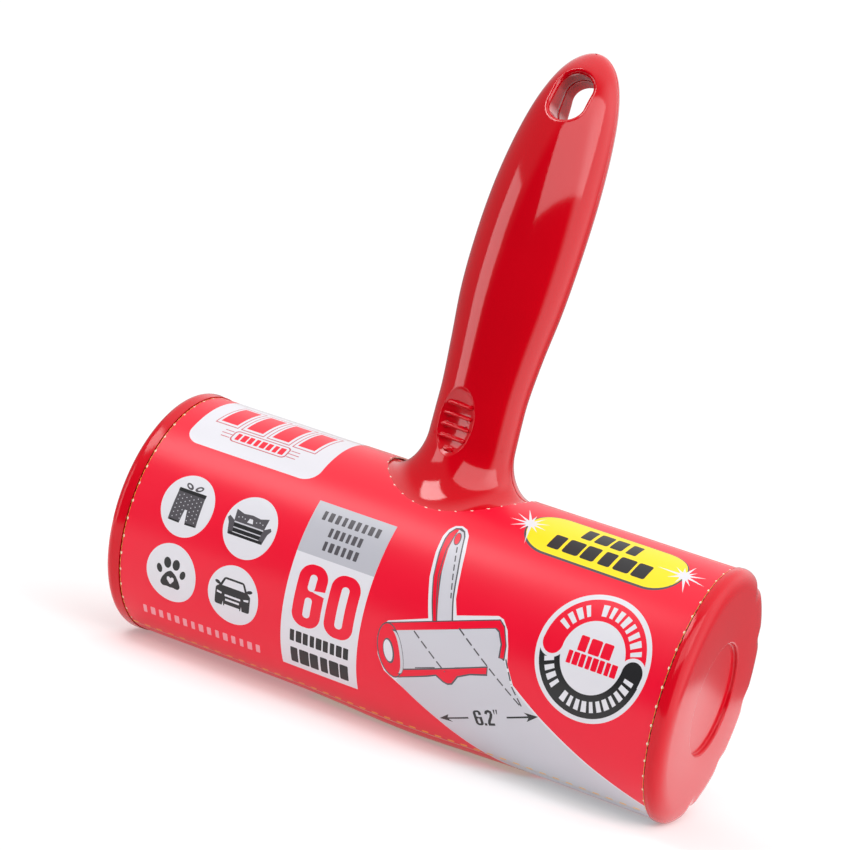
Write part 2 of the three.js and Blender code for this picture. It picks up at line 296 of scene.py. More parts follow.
# The caps come from the same red polypropylene, but their flat faces are a little duller.
CAP_PLASTIC = Finish(
    "polypropylene_red_satin_cap",
    base="d40a20",
    cloud="ca081c",
    roughness=0.15,
    roughness_spread=0.03,
    specular=0.3,
    grain_mm=0.7,
    relief_mm=0.0012,
    ripple_mm=0.010,
)
# The cover is a thin moulding that shows faint flow lines.
COVER_PLASTIC = Finish(
    "polypropylene_red_thin_cover",
    base="c40a18",
    cloud="b80814",
    roughness=0.14,
    grain_mm=1.2,
    relief_mm=0.0015,
    ripple_mm=0.02,
)
# Hot-melt glue, set amber and clear: a lumpy, wet-looking bead.
HOT_GLUE = Finish(
    "hot_melt_glue_amber",
    base="dc8a02",
    cloud="c06a02",
    roughness=0.28,
    specular=0.5,
    cloud_mm=5.0,
    grain_mm=2.2,
    relief_mm=0.25,
    subsurface=0.2,
)
# Zinc-plated steel screws: bright, slightly brushed by the driver.
SCREW_STEEL = Finish(
    "steel_screw_zinc_plated",
    base="b9bcc0",
    cloud="a2a6ab",
    roughness=0.28,
    metallic=1.0,
    grain_mm=0.3,
    relief_mm=0.004,
)
# Adhesive paper wound with its sticky side out: white with a wet sheen, and fine layers on its ends.
STICKY_PAPER = LayeredFinish(
    "adhesive_paper_roll",
    base="efece4",
    cloud="e4e0d6",
    roughness=0.3,
    coat=0.4,
    coat_roughness=0.2,
    grain_mm=0.6,
    relief_mm=0.02,
)
# Grey-brown core board: matt, with pressed fibres.
CORE_BOARD = LayeredFinish(
    "core_board_kraft",
    base="a98a62",
    cloud="947651",
    roughness=0.85,
    specular=0.2,
    grain_mm=0.5,
    relief_mm=0.05,
    layer_mm=0.35,
    layer_colour="8a6d49",
)
# Unpainted white polypropylene of the spool, satin from its tool.
SPOOL_PLASTIC = Finish(
    "polypropylene_white_spool",
    base="e8e6e0",
    cloud="dcd9d2",
    roughness=0.38,
    grain_mm=0.9,
    relief_mm=0.004,
    subsurface=0.05,
)


class Ink(Enum):
    """The colours printed on the sleeve, and its bare paper, each with its place among the materials."""

    RED = 0
    WHITE = 1
    SHEET = 2
    SILVER = 3
    YELLOW = 4
    BLACK = 5
    GREY = 6
    PINK = 7
    ROSE = 8
    PAPER = 9
    GOLD = 10


def printed(name: str, base: str, cloud: str, roughness: float = 0.34) -> Finish:
    """Coated sleeve paper printed in one ink under a satin varnish, slightly wavy from rolling.

    Args:
        name: the finish's name.
        base: its colour, as six hex digits.
        cloud: the colour that clouds it.
        roughness: the varnish's roughness.

    Returns:
        The finish.
    """
    return Finish(
        name,
        base=base,
        cloud=cloud,
        roughness=roughness,
        roughness_spread=0.04,
        specular=0.42,
        cloud_mm=24.0,
        grain_mm=0.7,
        relief_mm=0.006,
        ripple_mm=0.05,
        ripple_spacing_mm=22.0,
    )


INK_FINISHES: dict[Ink, Finish] = {
    Ink.RED: printed("printed_paper_red", "ee0430", "e6032b"),
    Ink.WHITE: printed("printed_paper_white", "e0dfe5", "d9d8df"),
    Ink.SHEET: printed("printed_paper_pale_grey", "cccbd3", "c5c4cc"),
    Ink.SILVER: printed("printed_paper_silver_grey", "bcbcc4", "b3b3bc"),
    Ink.YELLOW: printed("printed_paper_yellow", "ffe018", "f8d60e"),
    Ink.BLACK: printed("printed_paper_black", "1b1b1d", "242427"),
    Ink.GREY: printed("printed_paper_dark_grey", "4c494e", "565359"),
    Ink.PINK: printed("printed_paper_pale_pink", "f0a3ac", "e998a2"),
    Ink.ROSE: printed("printed_paper_rose_outline", "c8616c", "bd5763"),
    Ink.PAPER: printed("sleeve_paper_uncoated", "f1e6d6", "e6d8c4", 0.7),
    Ink.GOLD: printed("perforation_cut_gold", "ffc02c", "f0a818"),
}


# ---------------------------------------------------------------------------------------------
# Mesh making
# ---------------------------------------------------------------------------------------------


class Skin:
    """Collects grids of points in millimetres and turns them into one mesh."""

    def __init__(self) -> None:
        """Start with no points."""
        self._points: list[Array] = []
        self._quads: list[Array] = []
        self._count = 0

    def grid(
        self, points: Array, loop_rows: bool = False, loop_columns: bool = False, keep: Array | None = None
    ) -> None:
        """Add a grid of points, with a quad between each four neighbours.

        Args:
            points: rows by columns by 3.
            loop_rows: join the last row to the first.
            loop_columns: join the last column to the first.
            keep: a mask of the quads to keep.
        """
        rows, columns = points.shape[:2]
        index = self._count + np.arange(rows * columns).reshape(rows, columns)
        if loop_rows:
            index = np.vstack([index, index[:1]])
        if loop_columns:
            index = np.hstack([index, index[:, :1]])
        quads = np.stack([index[:-1, :-1], index[:-1, 1:], index[1:, 1:], index[1:, :-1]], axis=-1)
        quads = quads[keep] if keep is not None else quads.reshape(-1, 4)
        self._points.append(points.reshape(-1, 3))
        self._quads.append(quads)
        self._count += rows * columns

    def piece(self, name: str, finish: Finish, sharp: float = SHARP_ANGLE) -> bpy.types.Object:
        """Weld the grids into one mesh with its faces outwards and its hard edges kept.

        Args:
            name: the piece's name.
            finish: its finish.
            sharp: the angle past which an edge stays hard.

        Returns:
            The new object, at the origin.
        """
        mesh = bpy.data.meshes.new(name)
        mesh.from_pydata((np.vstack(self._points) * MM).tolist(), [], np.vstack(self._quads).tolist())
        work = bmesh.new()
        work.from_mesh(mesh)
        bmesh.ops.remove_doubles(work, verts=work.verts, dist=WELD_MM * MM)
        bmesh.ops.dissolve_degenerate(work, edges=work.edges, dist=WELD_MM * MM * 0.5)
        bmesh.ops.recalc_face_normals(work, faces=work.faces)
        work.to_mesh(mesh)
        work.free()
        mesh.polygons.foreach_set("use_smooth", np.ones(len(mesh.polygons), bool))
        mesh.set_sharp_from_angle(angle=sharp)
        mesh.materials.append(finish.material())
        made = bpy.data.objects.new(name, mesh)
        bpy.context.scene.collection.objects.link(made)
        return made


def place_piece(made: bpy.types.Object, body: str, slot: str, *nodes: str) -> bpy.types.Object:
    """Ride a piece on its body, and hide the CAD nodes that it stands for.

    Args:
        made: the piece.
        body: the body that it rides on.
        slot: not used.
        nodes: the CAD nodes that it stands for.

    Returns:
        The same piece.
    """
    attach(made, body)
    if nodes:
        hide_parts(*nodes)
    LOG.info("%s: %d faces, on %s", made.name, len(made.data.polygons), body)
    return made


def softened(points: Array, radii: Array, steps: int = 5) -> Array:
    """Round the corners of a profile.

    Each corner gives way to a quadratic curve between two points, one on each of its sides, at the
    corner's radius or at 0.48 of the side's length if that is less.

    Args:
        points: corners by 2.
        radii: one for each corner.
        steps: points on each corner.

    Returns:
        The rounded profile.
    """
    before, after = np.roll(points, 1, axis=0) - points, np.roll(points, -1, axis=0) - points
    reach_before, reach_after = (np.linalg.norm(side, axis=1) + 1e-9 for side in (before, after))
    cut = np.minimum(radii, 0.48 * np.minimum(reach_before, reach_after))
    start = points + before * (cut / reach_before)[:, None]
    end = points + after * (cut / reach_after)[:, None]
    share = np.linspace(0, 1, steps)[None, :, None]
    rest = 1 - share
    curve = start[:, None] * rest**2 + 2 * points[:, None] * share * rest + end[:, None] * share**2
    return curve.reshape(-1, 2)


def hermite(start: Array, leave: Array, end: Array, arrive: Array, u: Array) -> Array:
    """The cubic between two points with a given tangent at each.

    start (2u^3 - 3u^2 + 1) + leave (u^3 - 2u^2 + u) + end (3u^2 - 2u^3) + arrive (u^3 - u^2).

    Args:
        start: the first point.
        leave: the tangent there.
        end: the last point.
        arrive: the tangent there.
        u: how far along, from 0 to 1.

    Returns:
        The points.
    """
    from_start = start * (2 * u**3 - 3 * u**2 + 1) + leave * (u**3 - 2 * u**2 + u)
    return from_start + end * (3 * u**2 - 2 * u**3) + arrive * (u**3 - u**2)


def ring_section(radii: Pair, ends: Pair, edge: float, steps: int) -> Array:
    """A ring's section, as radius and x: a rectangle with rounded corners.

    Args:
        radii: inner and outer radius.
        ends: first and last x.
        edge: the corners' radius.
        steps: points on each corner.

    Returns:
        Points by 2.
    """
    (inner, outer), (first, last) = radii, ends
    corners = np.array([[inner, first], [outer, first], [outer, last], [inner, last]])
    return softened(corners, np.full(4, edge), steps)


@dataclass
class Drum:
    """The drum's main sizes, read from the CAD nodes."""

    axis_height: float = 0.0
    cap_radius: float = 0.0
    cap_face: float = 0.0
    sleeve_radius: float = 0.0
    half_length: float = 0.0

    @classmethod
    def from_frame(cls) -> "Drum":
        """Read the sizes from the right cap and the front of the sleeve.

        Returns:
            The drum.
        """
        low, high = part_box("right_end_cap")
        sleeve_low, sleeve_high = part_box("sleeve_front_panel")
        return cls(
            axis_height=(low.z + high.z) / 2 / MM,
            cap_radius=(high.z - low.z) / 2 / MM,
            cap_face=high.x / MM,
            sleeve_radius=-sleeve_low.y / MM,
            half_length=sleeve_high.x / MM,
        )

    def point(self, x: Array, angle: Array, radius: Array) -> Array:
        """A point at x, at an angle in radians and a radius about the roll's axis."""
        parts = np.broadcast_arrays(x, -radius * np.cos(angle), self.axis_height + radius * np.sin(angle))
        return np.stack(parts, axis=-1).astype(float)

    def turned(self, skin: Skin, profile: Array, steps: int, closed: bool = False) -> None:
        """Turn a profile about the roll's axis.

        Args:
            skin: where the points go.
            profile: points by 2, as radius and x.
            steps: points round the full turn.
            closed: join the profile's end to its start.
        """
        angle = np.linspace(0, 2 * np.pi, steps, endpoint=False)[None]
        skin.grid(self.point(profile[:, 1:], angle, profile[:, :1]), loop_rows=closed, loop_columns=True)

    def arched_slab(
        self,
        skin: Skin,
        inner: float,
        outer: float,
        angles: Pair,
        ends: Pair,
        step_deg: float = 1.5,
        edge: float = 0.45,
    ) -> None:
        """Bend a plate with rounded edges about the roll's axis.

        The section is a loop: the outer arc, a half circle at its end, the inner arc back and another
        half circle. Towards each end of the plate the loop draws in to the middle of the wall along a
        quarter circle, and then closes on it.

        Args:
            skin: where the points go.
            inner: inner radius.
            outer: outer radius.
            angles: first and last angle, in degrees.
            ends: first and last x.
            step_deg: the arc's step.
            edge: the edge's radius.
        """
        half, middle = (outer - inner) / 2, (outer + inner) / 2
        first, last = np.radians(angles[0]) + half / middle, np.radians(angles[1]) - half / middle
        count = max(2, int(np.ceil(np.degrees(last - first) / step_deg)) + 1)
        arc = np.linspace(first, last, count)
        bend = np.linspace(0, np.pi, 7)[1:-1]
        round_out, round_on = half * np.cos(bend), half / middle * np.sin(bend)
        radius = np.concatenate(
            [np.full(count, outer), middle + round_out, np.full(count, inner), middle - round_out]
        )
        angle = np.concatenate([arc, last + round_on, arc[::-1], first - round_on])
        core = np.concatenate([arc, np.full(5, last), arc[::-1], np.full(5, first)])
        quarter = np.linspace(np.pi / 2, 0, 5)
        along = ends[0] + edge * np.concatenate([[0.0], 1 - np.sin(quarter)])
        draw = np.concatenate([[1.0], np.minimum(edge / half * (1 - np.cos(quarter)), 0.98)])
        x = np.concatenate([along, ends[0] + ends[1] - along[::-1]])
        pull = np.concatenate([draw, draw[::-1]])[:, None]
        r = radius[None] * (1 - pull) + middle * pull
        a = angle[None] * (1 - pull) + core[None] * pull
        skin.grid(self.point(x[:, None], a, r), loop_columns=True)


# ---------------------------------------------------------------------------------------------
# The handle
# ---------------------------------------------------------------------------------------------


class Half(Enum):
    """The two halves of the case, by the direction of y that each faces."""

    FRONT = -1
    REAR = 1


@dataclass
class Bore:
    """A hole into the handle: a slot or a round recess, with a rounded rim."""

    rise: float
    half_width: float
    straight: float
    rim: float
    tilt_deg: float
    floor_y: float | None = None

    def outline(self, theta: Array, inset: float) -> tuple[Array, Array]:
        """The outline at a direction from its centre: two half circles joined by straight sides.

        Args:
            theta: directions in radians, 0 across and a quarter turn up.
            inset: how far inside the rim's outer edge.

        Returns:
            Across and up.
        """
        width = self.half_width + self.rim - inset
        side = width / np.maximum(np.abs(np.cos(theta)), 1e-9)
        lift = self.straight * np.abs(np.sin(theta))
        end = lift + np.sqrt(np.maximum(width**2 - (self.straight * np.cos(theta)) ** 2, 0))
        reach = np.where(side * np.abs(np.sin(theta)) <= self.straight, side, end)
        return reach * np.cos(theta), reach * np.sin(theta)


@dataclass
class Handle:
    """The hollow handle, moulded in a front and a rear half that meet on a curved parting line."""

    drum: Drum
    outline: tuple[Pair, ...] = (
        (46.0, 12.5), (52.0, 12.4), (60.0, 12.4), (72.0, 13.3), (86.0, 14.7), (100.0, 15.2), (114.0, 15.0),
        (126.0, 14.1), (136.0, 12.7), (143.0, 11.1), (149.0, 8.9), (153.0, 6.4), (155.7, 3.2), (156.6, 0.0),
    )
    depth_share: tuple[Pair, ...] = ((46.0, 0.84), (60.0, 0.835), (100.0, 0.80), (156.0, 0.88))
    wall_radius: float = 34.2
    foot: Pair = (20.3, 21.0)
    seam: float = 0.08
    lip: float = 0.24
    wall: float = 1.9
    hang_slot: Bore = field(default_factory=lambda: Bore(141.6, 4.9, 2.5, 1.1, 12.0))
    screw_rises: Pair = (74.0, 112.0)
    pad_centre: Pair = (-2.4, 50.7)
    pad_half: Pair = (5.5, 9.5)
    pad_depth: float = 2.0
    rib_rises: tuple[float, ...] = (55.3, 52.2, 49.1, 46.0, 43.1)
    rib_lengths: tuple[float, ...] = (8.2, 9.2, 9.2, 8.4, 3.3)
    rib_radius: float = 0.52
    rib_height: float = 1.15

    def __post_init__(self) -> None:
        """Work out the outline's tangents, and a fine table of it for reading by rise."""
        knots = np.array(self.outline)
        mirrored = np.vstack([2 * knots[0] - knots[1], knots, knots[-2] * (1, -1)])
        gaps = np.linalg.norm(np.diff(mirrored, axis=0), axis=1)
        self._at = np.concatenate([[0], np.cumsum(gaps[1:-1])])
        self._knots = knots
        self._tangents = (mirrored[2:] - mirrored[:-2]) / (gaps[1:] + gaps[:-1])[:, None]
        self._along = np.linspace(0, self._at[-1], 6000)
        self._rise, self._half = self.profile(self._along)

    @property
    def length(self) -> float:
        """The outline's length from the neck to the tip."""
        return float(self._at[-1])

    def profile(self, along: Array) -> tuple[Array, Array]:
        """Rise and half width at a distance along the outline: a cubic through its knots.

        Args:
            along: distances along the outline.

        Returns:
            Rises and half widths.
        """
        i = np.clip(np.searchsorted(self._at, along, side="right") - 1, 0, len(self._at) - 2)
        gap = (self._at[i + 1] - self._at[i])[..., None]
        u = np.clip((along - self._at[i])[..., None] / gap, 0, 1)
        start, end = self._knots[i], self._knots[i + 1]
        leave, arrive = self._tangents[i] * gap, self._tangents[i + 1] * gap
        value = hermite(start, leave, end, arrive, u)
        return value[..., 0], np.maximum(value[..., 1], 0)

    def middle(self, rise: Array) -> Array:
        """The y of the parting line: bowed forward at the neck, leaning back towards the top."""
        bowed = -2.0 * np.sin(np.pi / 2 * np.clip((rise - 30) / 32, 0, 1))
        return np.where(rise > 62, -2.0 + 0.00165 * (rise - 62) ** 2, bowed)

    def depth_at(self, rise: Array, half: Array) -> Array:
        """Half depth of the handle at a rise."""
        table = np.array(self.depth_share)
        return half * np.interp(rise, table[:, 0], table[:, 1])

    def surface(self, turn: Array, along: Array, side: int) -> Array:
        """A point on one half: an ellipse across the handle at each distance along its outline.

        Args:
            turn: turns round the ellipse, in radians.
            along: distances along the outline.
            side: -1 for the front, 1 for the rear.

        Returns:
            Points by 3.
        """
        rise, half = self.profile(along)
        y = self.middle(rise) + side * self.depth_at(rise, half) * np.sin(turn)
        x, y, z = np.broadcast_arrays(half * np.cos(turn), y, self.drum.axis_height + rise)
        return np.stack([x, y, z], axis=-1)

    def flare(self, turn: Array, rows: int, side: int) -> Array:
        """The foot of the handle, spreading on to the drum.

        A cubic runs from an oval on the drum's wall, where it lies along the wall, to the neck,
        where it points up the handle.

        Args:
            turn: one row of turns in radians.
            rows: rows from the foot up, without the neck's own.
            side: -1 for the front, 1 for the rear.

        Returns:
            rows by turns by 3.
        """
        cos, sin = np.cos(turn), side * np.sin(turn)
        foot_x, foot_y = self.foot[0] * cos, self.foot[1] * sin
        foot_z = np.sqrt(self.wall_radius**2 - foot_y**2)
        foot = np.stack([foot_x, foot_y, self.drum.axis_height + foot_z - 0.04], axis=-1)
        neck = self.surface(turn, np.zeros_like(turn), side)
        gap = neck - foot
        climb = -foot_y * gap[:, 1] / foot_z
        leave = QUARTER_BEND * np.stack([gap[:, 0], gap[:, 1], climb], axis=-1)
        upright = np.array([0.0, -0.06, 1.0])
        arrive = QUARTER_BEND * 0.93 * upright * np.maximum(gap[:, 2:] - climb[:, None] * 0.75, 1)
        u = np.linspace(0, 1, rows, endpoint=False)[:, None, None]
        return hermite(foot, leave, neck, arrive, u)

    def thumb_rest(self, points: Array) -> Array:
        """Sink the thumb rest into a grid, with its grip ribs.

        The rest is an oval dish: depth times one less the squared distance from its centre, raised to
        three quarters, so that its rim is crisp. Each rib is a bar with round ends, a half ellipse across.

        Args:
            points: rows by columns by 3.

        Returns:
            The moved points.
        """
        along, across = np.gradient(points, axis=0), np.gradient(points, axis=1)
        normal = np.cross(across, along)
        normal /= np.linalg.norm(normal, axis=-1, keepdims=True) + 1e-12
        normal *= np.sign(np.sum(normal * (0, -1, 0), axis=-1, keepdims=True) + 1e-9)
        x, rise = points[..., 0] - self.pad_centre[0], points[..., 2] - self.drum.axis_height
        far = (x / self.pad_half[0]) ** 2 + ((rise - self.pad_centre[1]) / self.pad_half[1]) ** 2
        depth = self.pad_depth * np.clip(1 - far, 0, 1) ** 0.75
        lift = np.zeros_like(depth)
        for rib_rise, length in zip(self.rib_rises, self.rib_lengths):
            beyond = np.maximum(np.abs(x) - (length / 2 - self.rib_radius), 0)
            off = np.hypot(beyond, rise - rib_rise) / self.rib_radius
            lift = np.maximum(lift, self.rib_height * np.clip(1 - off**2, 0, 1) ** 0.4)
        return points - normal * np.maximum(depth - lift, 0)[..., None] * (far < 1)[..., None]

    def _reach(self, origin: Array, across: Array, up: Array, facing: Array) -> Array:
        """How far from a bore's middle plane its line meets the handle's surface, by halving.

        Args:
            origin: the bore's centre.
            across: each line's offset across.
            up: each line's offset up.
            facing: the lines' direction.

        Returns:
            One distance for each line.
        """
        low, high = np.zeros(across.shape[0]), np.full(across.shape[0], 30.0)
        base = origin + across + up
        for _ in range(44):
            mid = (low + high) / 2
            p = base + mid[:, None] * facing
            rise = p[:, 2] - self.drum.axis_height
            half = np.maximum(np.interp(rise, self._rise, self._half), 1e-6)
            depth = self.depth_at(rise, half)
            inside = (p[:, 0] / half) ** 2 + ((p[:, 1] - self.middle(rise)) / depth) ** 2 < 1
            low, high = np.where(inside, mid, low), np.where(inside, high, mid)
        return low

    def pierce(
        self, skin: Skin, bore: Bore, turn: Array, along: Array, span: tuple[slice, slice], side: int
    ) -> None:
        """Fit a bore into a rectangle left open in the grid.

        Rings of points run from the bore's outline to the rectangle's edge, spaced evenly in turn and
        in distance along the handle, so that all lie on the surface. The rim is a quarter circle, and
        the wall runs straight in to the parting line or to the floor.

        Args:
            skin: where the points go.
            bore: the hole.
            turn: the grid's turns, rows by columns.
            along: the grid's distances along the outline, one for each row.
            span: the rows and columns of the grid that the rectangle takes.
            side: -1 for the front, 1 for the rear.
        """
        rows, columns = (np.arange(s.start, s.stop + 1) for s in span)
        wide, tall = len(columns) - 1, len(rows) - 1
        edge_rows = np.concatenate([np.full(wide, rows[0]), rows[:-1], np.full(wide, rows[-1]), rows[:0:-1]])
        sides = columns[:-1], np.full(tall, columns[-1]), columns[:0:-1], np.full(tall, columns[0])
        edge_columns = np.concatenate(sides)
        outer = np.stack([turn[edge_rows, edge_columns], along[edge_rows]], axis=-1)
        tilt = math.radians(bore.tilt_deg)
        origin = np.array([0.0, float(self.middle(np.array(bore.rise))), self.drum.axis_height + bore.rise])
        upward = np.array([0.0, math.sin(tilt), math.cos(tilt)])
        facing = side * np.array([0.0, math.cos(tilt), -math.sin(tilt)])
        rim_points = self.surface(outer[:, 0], outer[:, 1], side) - origin
        theta = np.arctan2(rim_points @ upward, rim_points[:, 0])

        def spread(inset: float) -> tuple[Array, Array]:
            """The outline's offsets from the bore's centre, across and up."""
            across, up = bore.outline(theta, inset)
            return across[:, None] * np.array([1.0, 0, 0]), up[:, None] * upward

        across, up = spread(0.0)
        reach = self._reach(origin, across, up, facing)
        start = origin + across + up + reach[:, None] * facing
        rise = start[:, 2] - self.drum.axis_height
        half = np.interp(rise, self._rise, self._half)
        lateral = side * (start[:, 1] - self.middle(rise)) / self.depth_at(rise, half)
        inner = np.stack(
            [np.arctan2(lateral, start[:, 0] / half), np.interp(rise, self._rise, self._along)], axis=-1
        )
        share = (np.linspace(0, 1, 12) ** 1.25)[:, None, None]
        rings = inner * (1 - share) + outer * share
        skin.grid(self.surface(rings[..., 0], rings[..., 1], side), loop_columns=True)
        bends = np.linspace(0, np.pi / 2, 7)
        rim_rows = []
        for bend in bends:
            across, up = spread(bore.rim * math.sin(bend))
            sunk = reach - bore.rim * (1 - math.cos(bend))
            rim_rows.append(origin + across + up + sunk[:, None] * facing)
        last = origin + across + up
        if bore.floor_y is None:
            offset = np.zeros(len(theta))
            for _ in range(8):
                p = last + offset[:, None] * facing
                miss = self.middle(p[:, 2] - self.drum.axis_height) + side * self.seam - p[:, 1]
                offset = offset + miss / facing[1]
            end = last + offset[:, None] * facing
            wall = [rim_rows[-1] * (1 - k) + end * k for k in np.linspace(0, 1, 7)]
        else:
            end = last.copy()
            end[:, 1] = bore.floor_y
            centre = origin * (1, 0, 1) + (0, bore.floor_y, 0)
            wall = [rim_rows[-1] * (1 - k) + end * k for k in np.linspace(0, 1, 5)]
            wall += [end * (1 - k) + centre * k for k in np.linspace(0.1, 1, 5)]
        skin.grid(np.stack(rim_rows + wall[1:]), loop_columns=True)

    def half_shell(self, side: int) -> bpy.types.Object:
        """Build one half of the handle: its flare, its ellipses, its bores and the lips of the seam.

        Args:
            side: -1 for the front, 1 for the rear.

        Returns:
            The half's object.
        """
        front = side == Half.FRONT.value
        fine = 0.0125 if front else 0.03
        centre = np.arange(math.radians(62), math.radians(134), fine)
        sides = (np.linspace(0, centre[0], 26, endpoint=False), np.linspace(centre[-1], math.pi, 24)[1:])
        share = np.concatenate([sides[0], centre, sides[1]]) / math.pi
        flare_rows = 92 if front else 40
        along = np.concatenate(
            [
                np.arange(0, 16, 0.2 if front else 0.8),
                np.arange(16, 78, 1.0),
                np.arange(78, 104, 0.55),
                np.linspace(104, self.length, 34),
            ]
        )
        rise, half = self.profile(along)
        depth = np.maximum(self.depth_at(rise, half), 1e-3)
        start = np.arcsin(np.clip((self.seam + self.lip) / depth, 0, 0.8))
        turn = start[:, None] + (math.pi - 2 * start)[:, None] * share[None]
        flare = self.flare(turn[0], flare_rows, side)
        upper = self.surface(turn, along[:, None], side)
        points = np.vstack([flare, upper])
        if front:
            points = self.thumb_rest(points)
        keep = np.ones((points.shape[0] - 1, points.shape[1] - 1), bool)
        skin = Skin()
        bores = [self.hang_slot]
        if not front:
            bores += [self._screw_bore(r) for r in self.screw_rises]
        for bore in bores:
            span = self._window(bore, rise, turn, side)
            keep[flare_rows + span[0].start : flare_rows + span[0].stop, span[1].start : span[1].stop] = False
            self.pierce(skin, bore, turn, along, span, side)
        skin.grid(points, keep=keep)
        for column, hand in ((0, 1), (-1, -1)):
            skin.grid(self._lip(points[:, column], hand, side))
        made = skin.piece(
            "case_front_handle" if front else "case_rear_handle", CASE_PLASTIC, math.radians(50)
        )
        solid = made.modifiers.new("wall", "SOLIDIFY")
        solid.thickness = self.wall * MM
        solid.offset = -1.0
        return made

    def _window(self, bore: Bore, rise: Array, turn: Array, side: int) -> tuple[slice, slice]:
        """The rows and columns of the grid that a bore's rectangle takes, with room round its rim.

        A tilted bore leaves the surface above or below its own rise, by depth times tan(tilt).

        Args:
            bore: the hole.
            rise: the rows' rises.
            turn: the grid's turns.
            side: -1 for the front, 1 for the rear.

        Returns:
            The rows and the columns.
        """
        reach_up = bore.half_width + bore.straight + bore.rim
        depth = self.depth_at(np.array(bore.rise), np.interp(bore.rise, self._rise, self._half))
        centre = bore.rise - side * float(depth) * math.tan(math.radians(bore.tilt_deg))
        low, high = centre - reach_up - 1.6, min(centre + reach_up + 1.6, 154.9)
        rows = np.searchsorted(rise, (low, high))
        middle_row = int(np.searchsorted(rise, centre))
        half = float(np.interp(centre, self._rise, self._half))
        edge = math.acos(min(0.93, (bore.half_width + bore.rim + 1.8) / half))
        columns = np.searchsorted(turn[middle_row], (edge, math.pi - edge))
        return slice(int(rows[0]), int(rows[1])), slice(int(columns[0]), int(columns[1]))

    def _screw_bore(self, rise: float) -> Bore:
        """The round recess over a handle screw.

        Args:
            rise: the screw's rise.

        Returns:
            The recess.
        """
        half = float(np.interp(rise, self._rise, self._half))
        back = float(self.middle(np.array(rise)) + self.depth_at(np.array(rise), np.array(half)))
        return Bore(rise, 3.2, 0.0, 0.5, 0.0, floor_y=back - 6.5)

    def _lip(self, edge: Array, hand: int, side: int) -> Array:
        """Round a half's edge into the seam by a quarter circle, and turn it inwards.

        Args:
            edge: the points of the first or last column.
            hand: 1 on the right, -1 on the left.
            side: -1 for the front, 1 for the rear.

        Returns:
            Rows of points, the first of them the edge itself.
        """
        along = np.gradient(edge, axis=0)
        towards = np.array([0.0, -side, 0.0])
        outward = np.cross(along, towards)
        outward /= np.linalg.norm(outward, axis=1, keepdims=True) + 1e-12
        outward *= np.sign(outward[:, :1] * hand + outward[:, 2:] * 0.2 + 1e-9)
        bends = np.linspace(0, np.pi / 2, 5)[:, None, None]
        fit = np.minimum(
            1.0, (np.abs(edge[:, 1] - self.middle(edge[:, 2] - self.drum.axis_height)) - self.seam) / self.lip
        )
        size = self.lip * np.clip(fit, 0.05, 1)[:, None]
        rolled = edge + outward * size * (np.cos(bends) - 1) + towards * size * np.sin(bends)
        inner = rolled[-1] - outward * 0.6
        return np.concatenate([rolled, inner[None]])

    def build(self) -> None:
        """Build both halves of the handle."""
        for half, node in ((Half.FRONT, "front_shell"), (Half.REAR, "rear_shell")):
            place_piece(self.half_shell(half.value), "case", "red_case_plastic", node)


# ---------------------------------------------------------------------------------------------
# The drum: walls, caps, cover and roll
# ---------------------------------------------------------------------------------------------


@dataclass
class CaseDrum:
    """The drum's walls: an apron under the front of the handle, and the long wall round the back."""

    drum: Drum
    inner: float = 32.2
    outer: float = 34.2
    window: Pair = (48.0, 280.0)
    seam_deg: float = 89.2

    def build(self) -> None:
        """Build the two walls."""
        ends = (-self.drum.half_length, self.drum.half_length)
        for name, angles, node in (
            ("case_front_wall", (self.window[0], self.seam_deg - 0.25), "front_shell"),
            ("case_rear_wall", (self.seam_deg + 0.25, self.window[1]), "rear_shell"),
        ):
            skin = Skin()
            self.drum.arched_slab(skin, self.inner, self.outer, angles, ends)
            place_piece(skin.piece(name, CASE_PLASTIC), "case", "red_case_plastic", node)


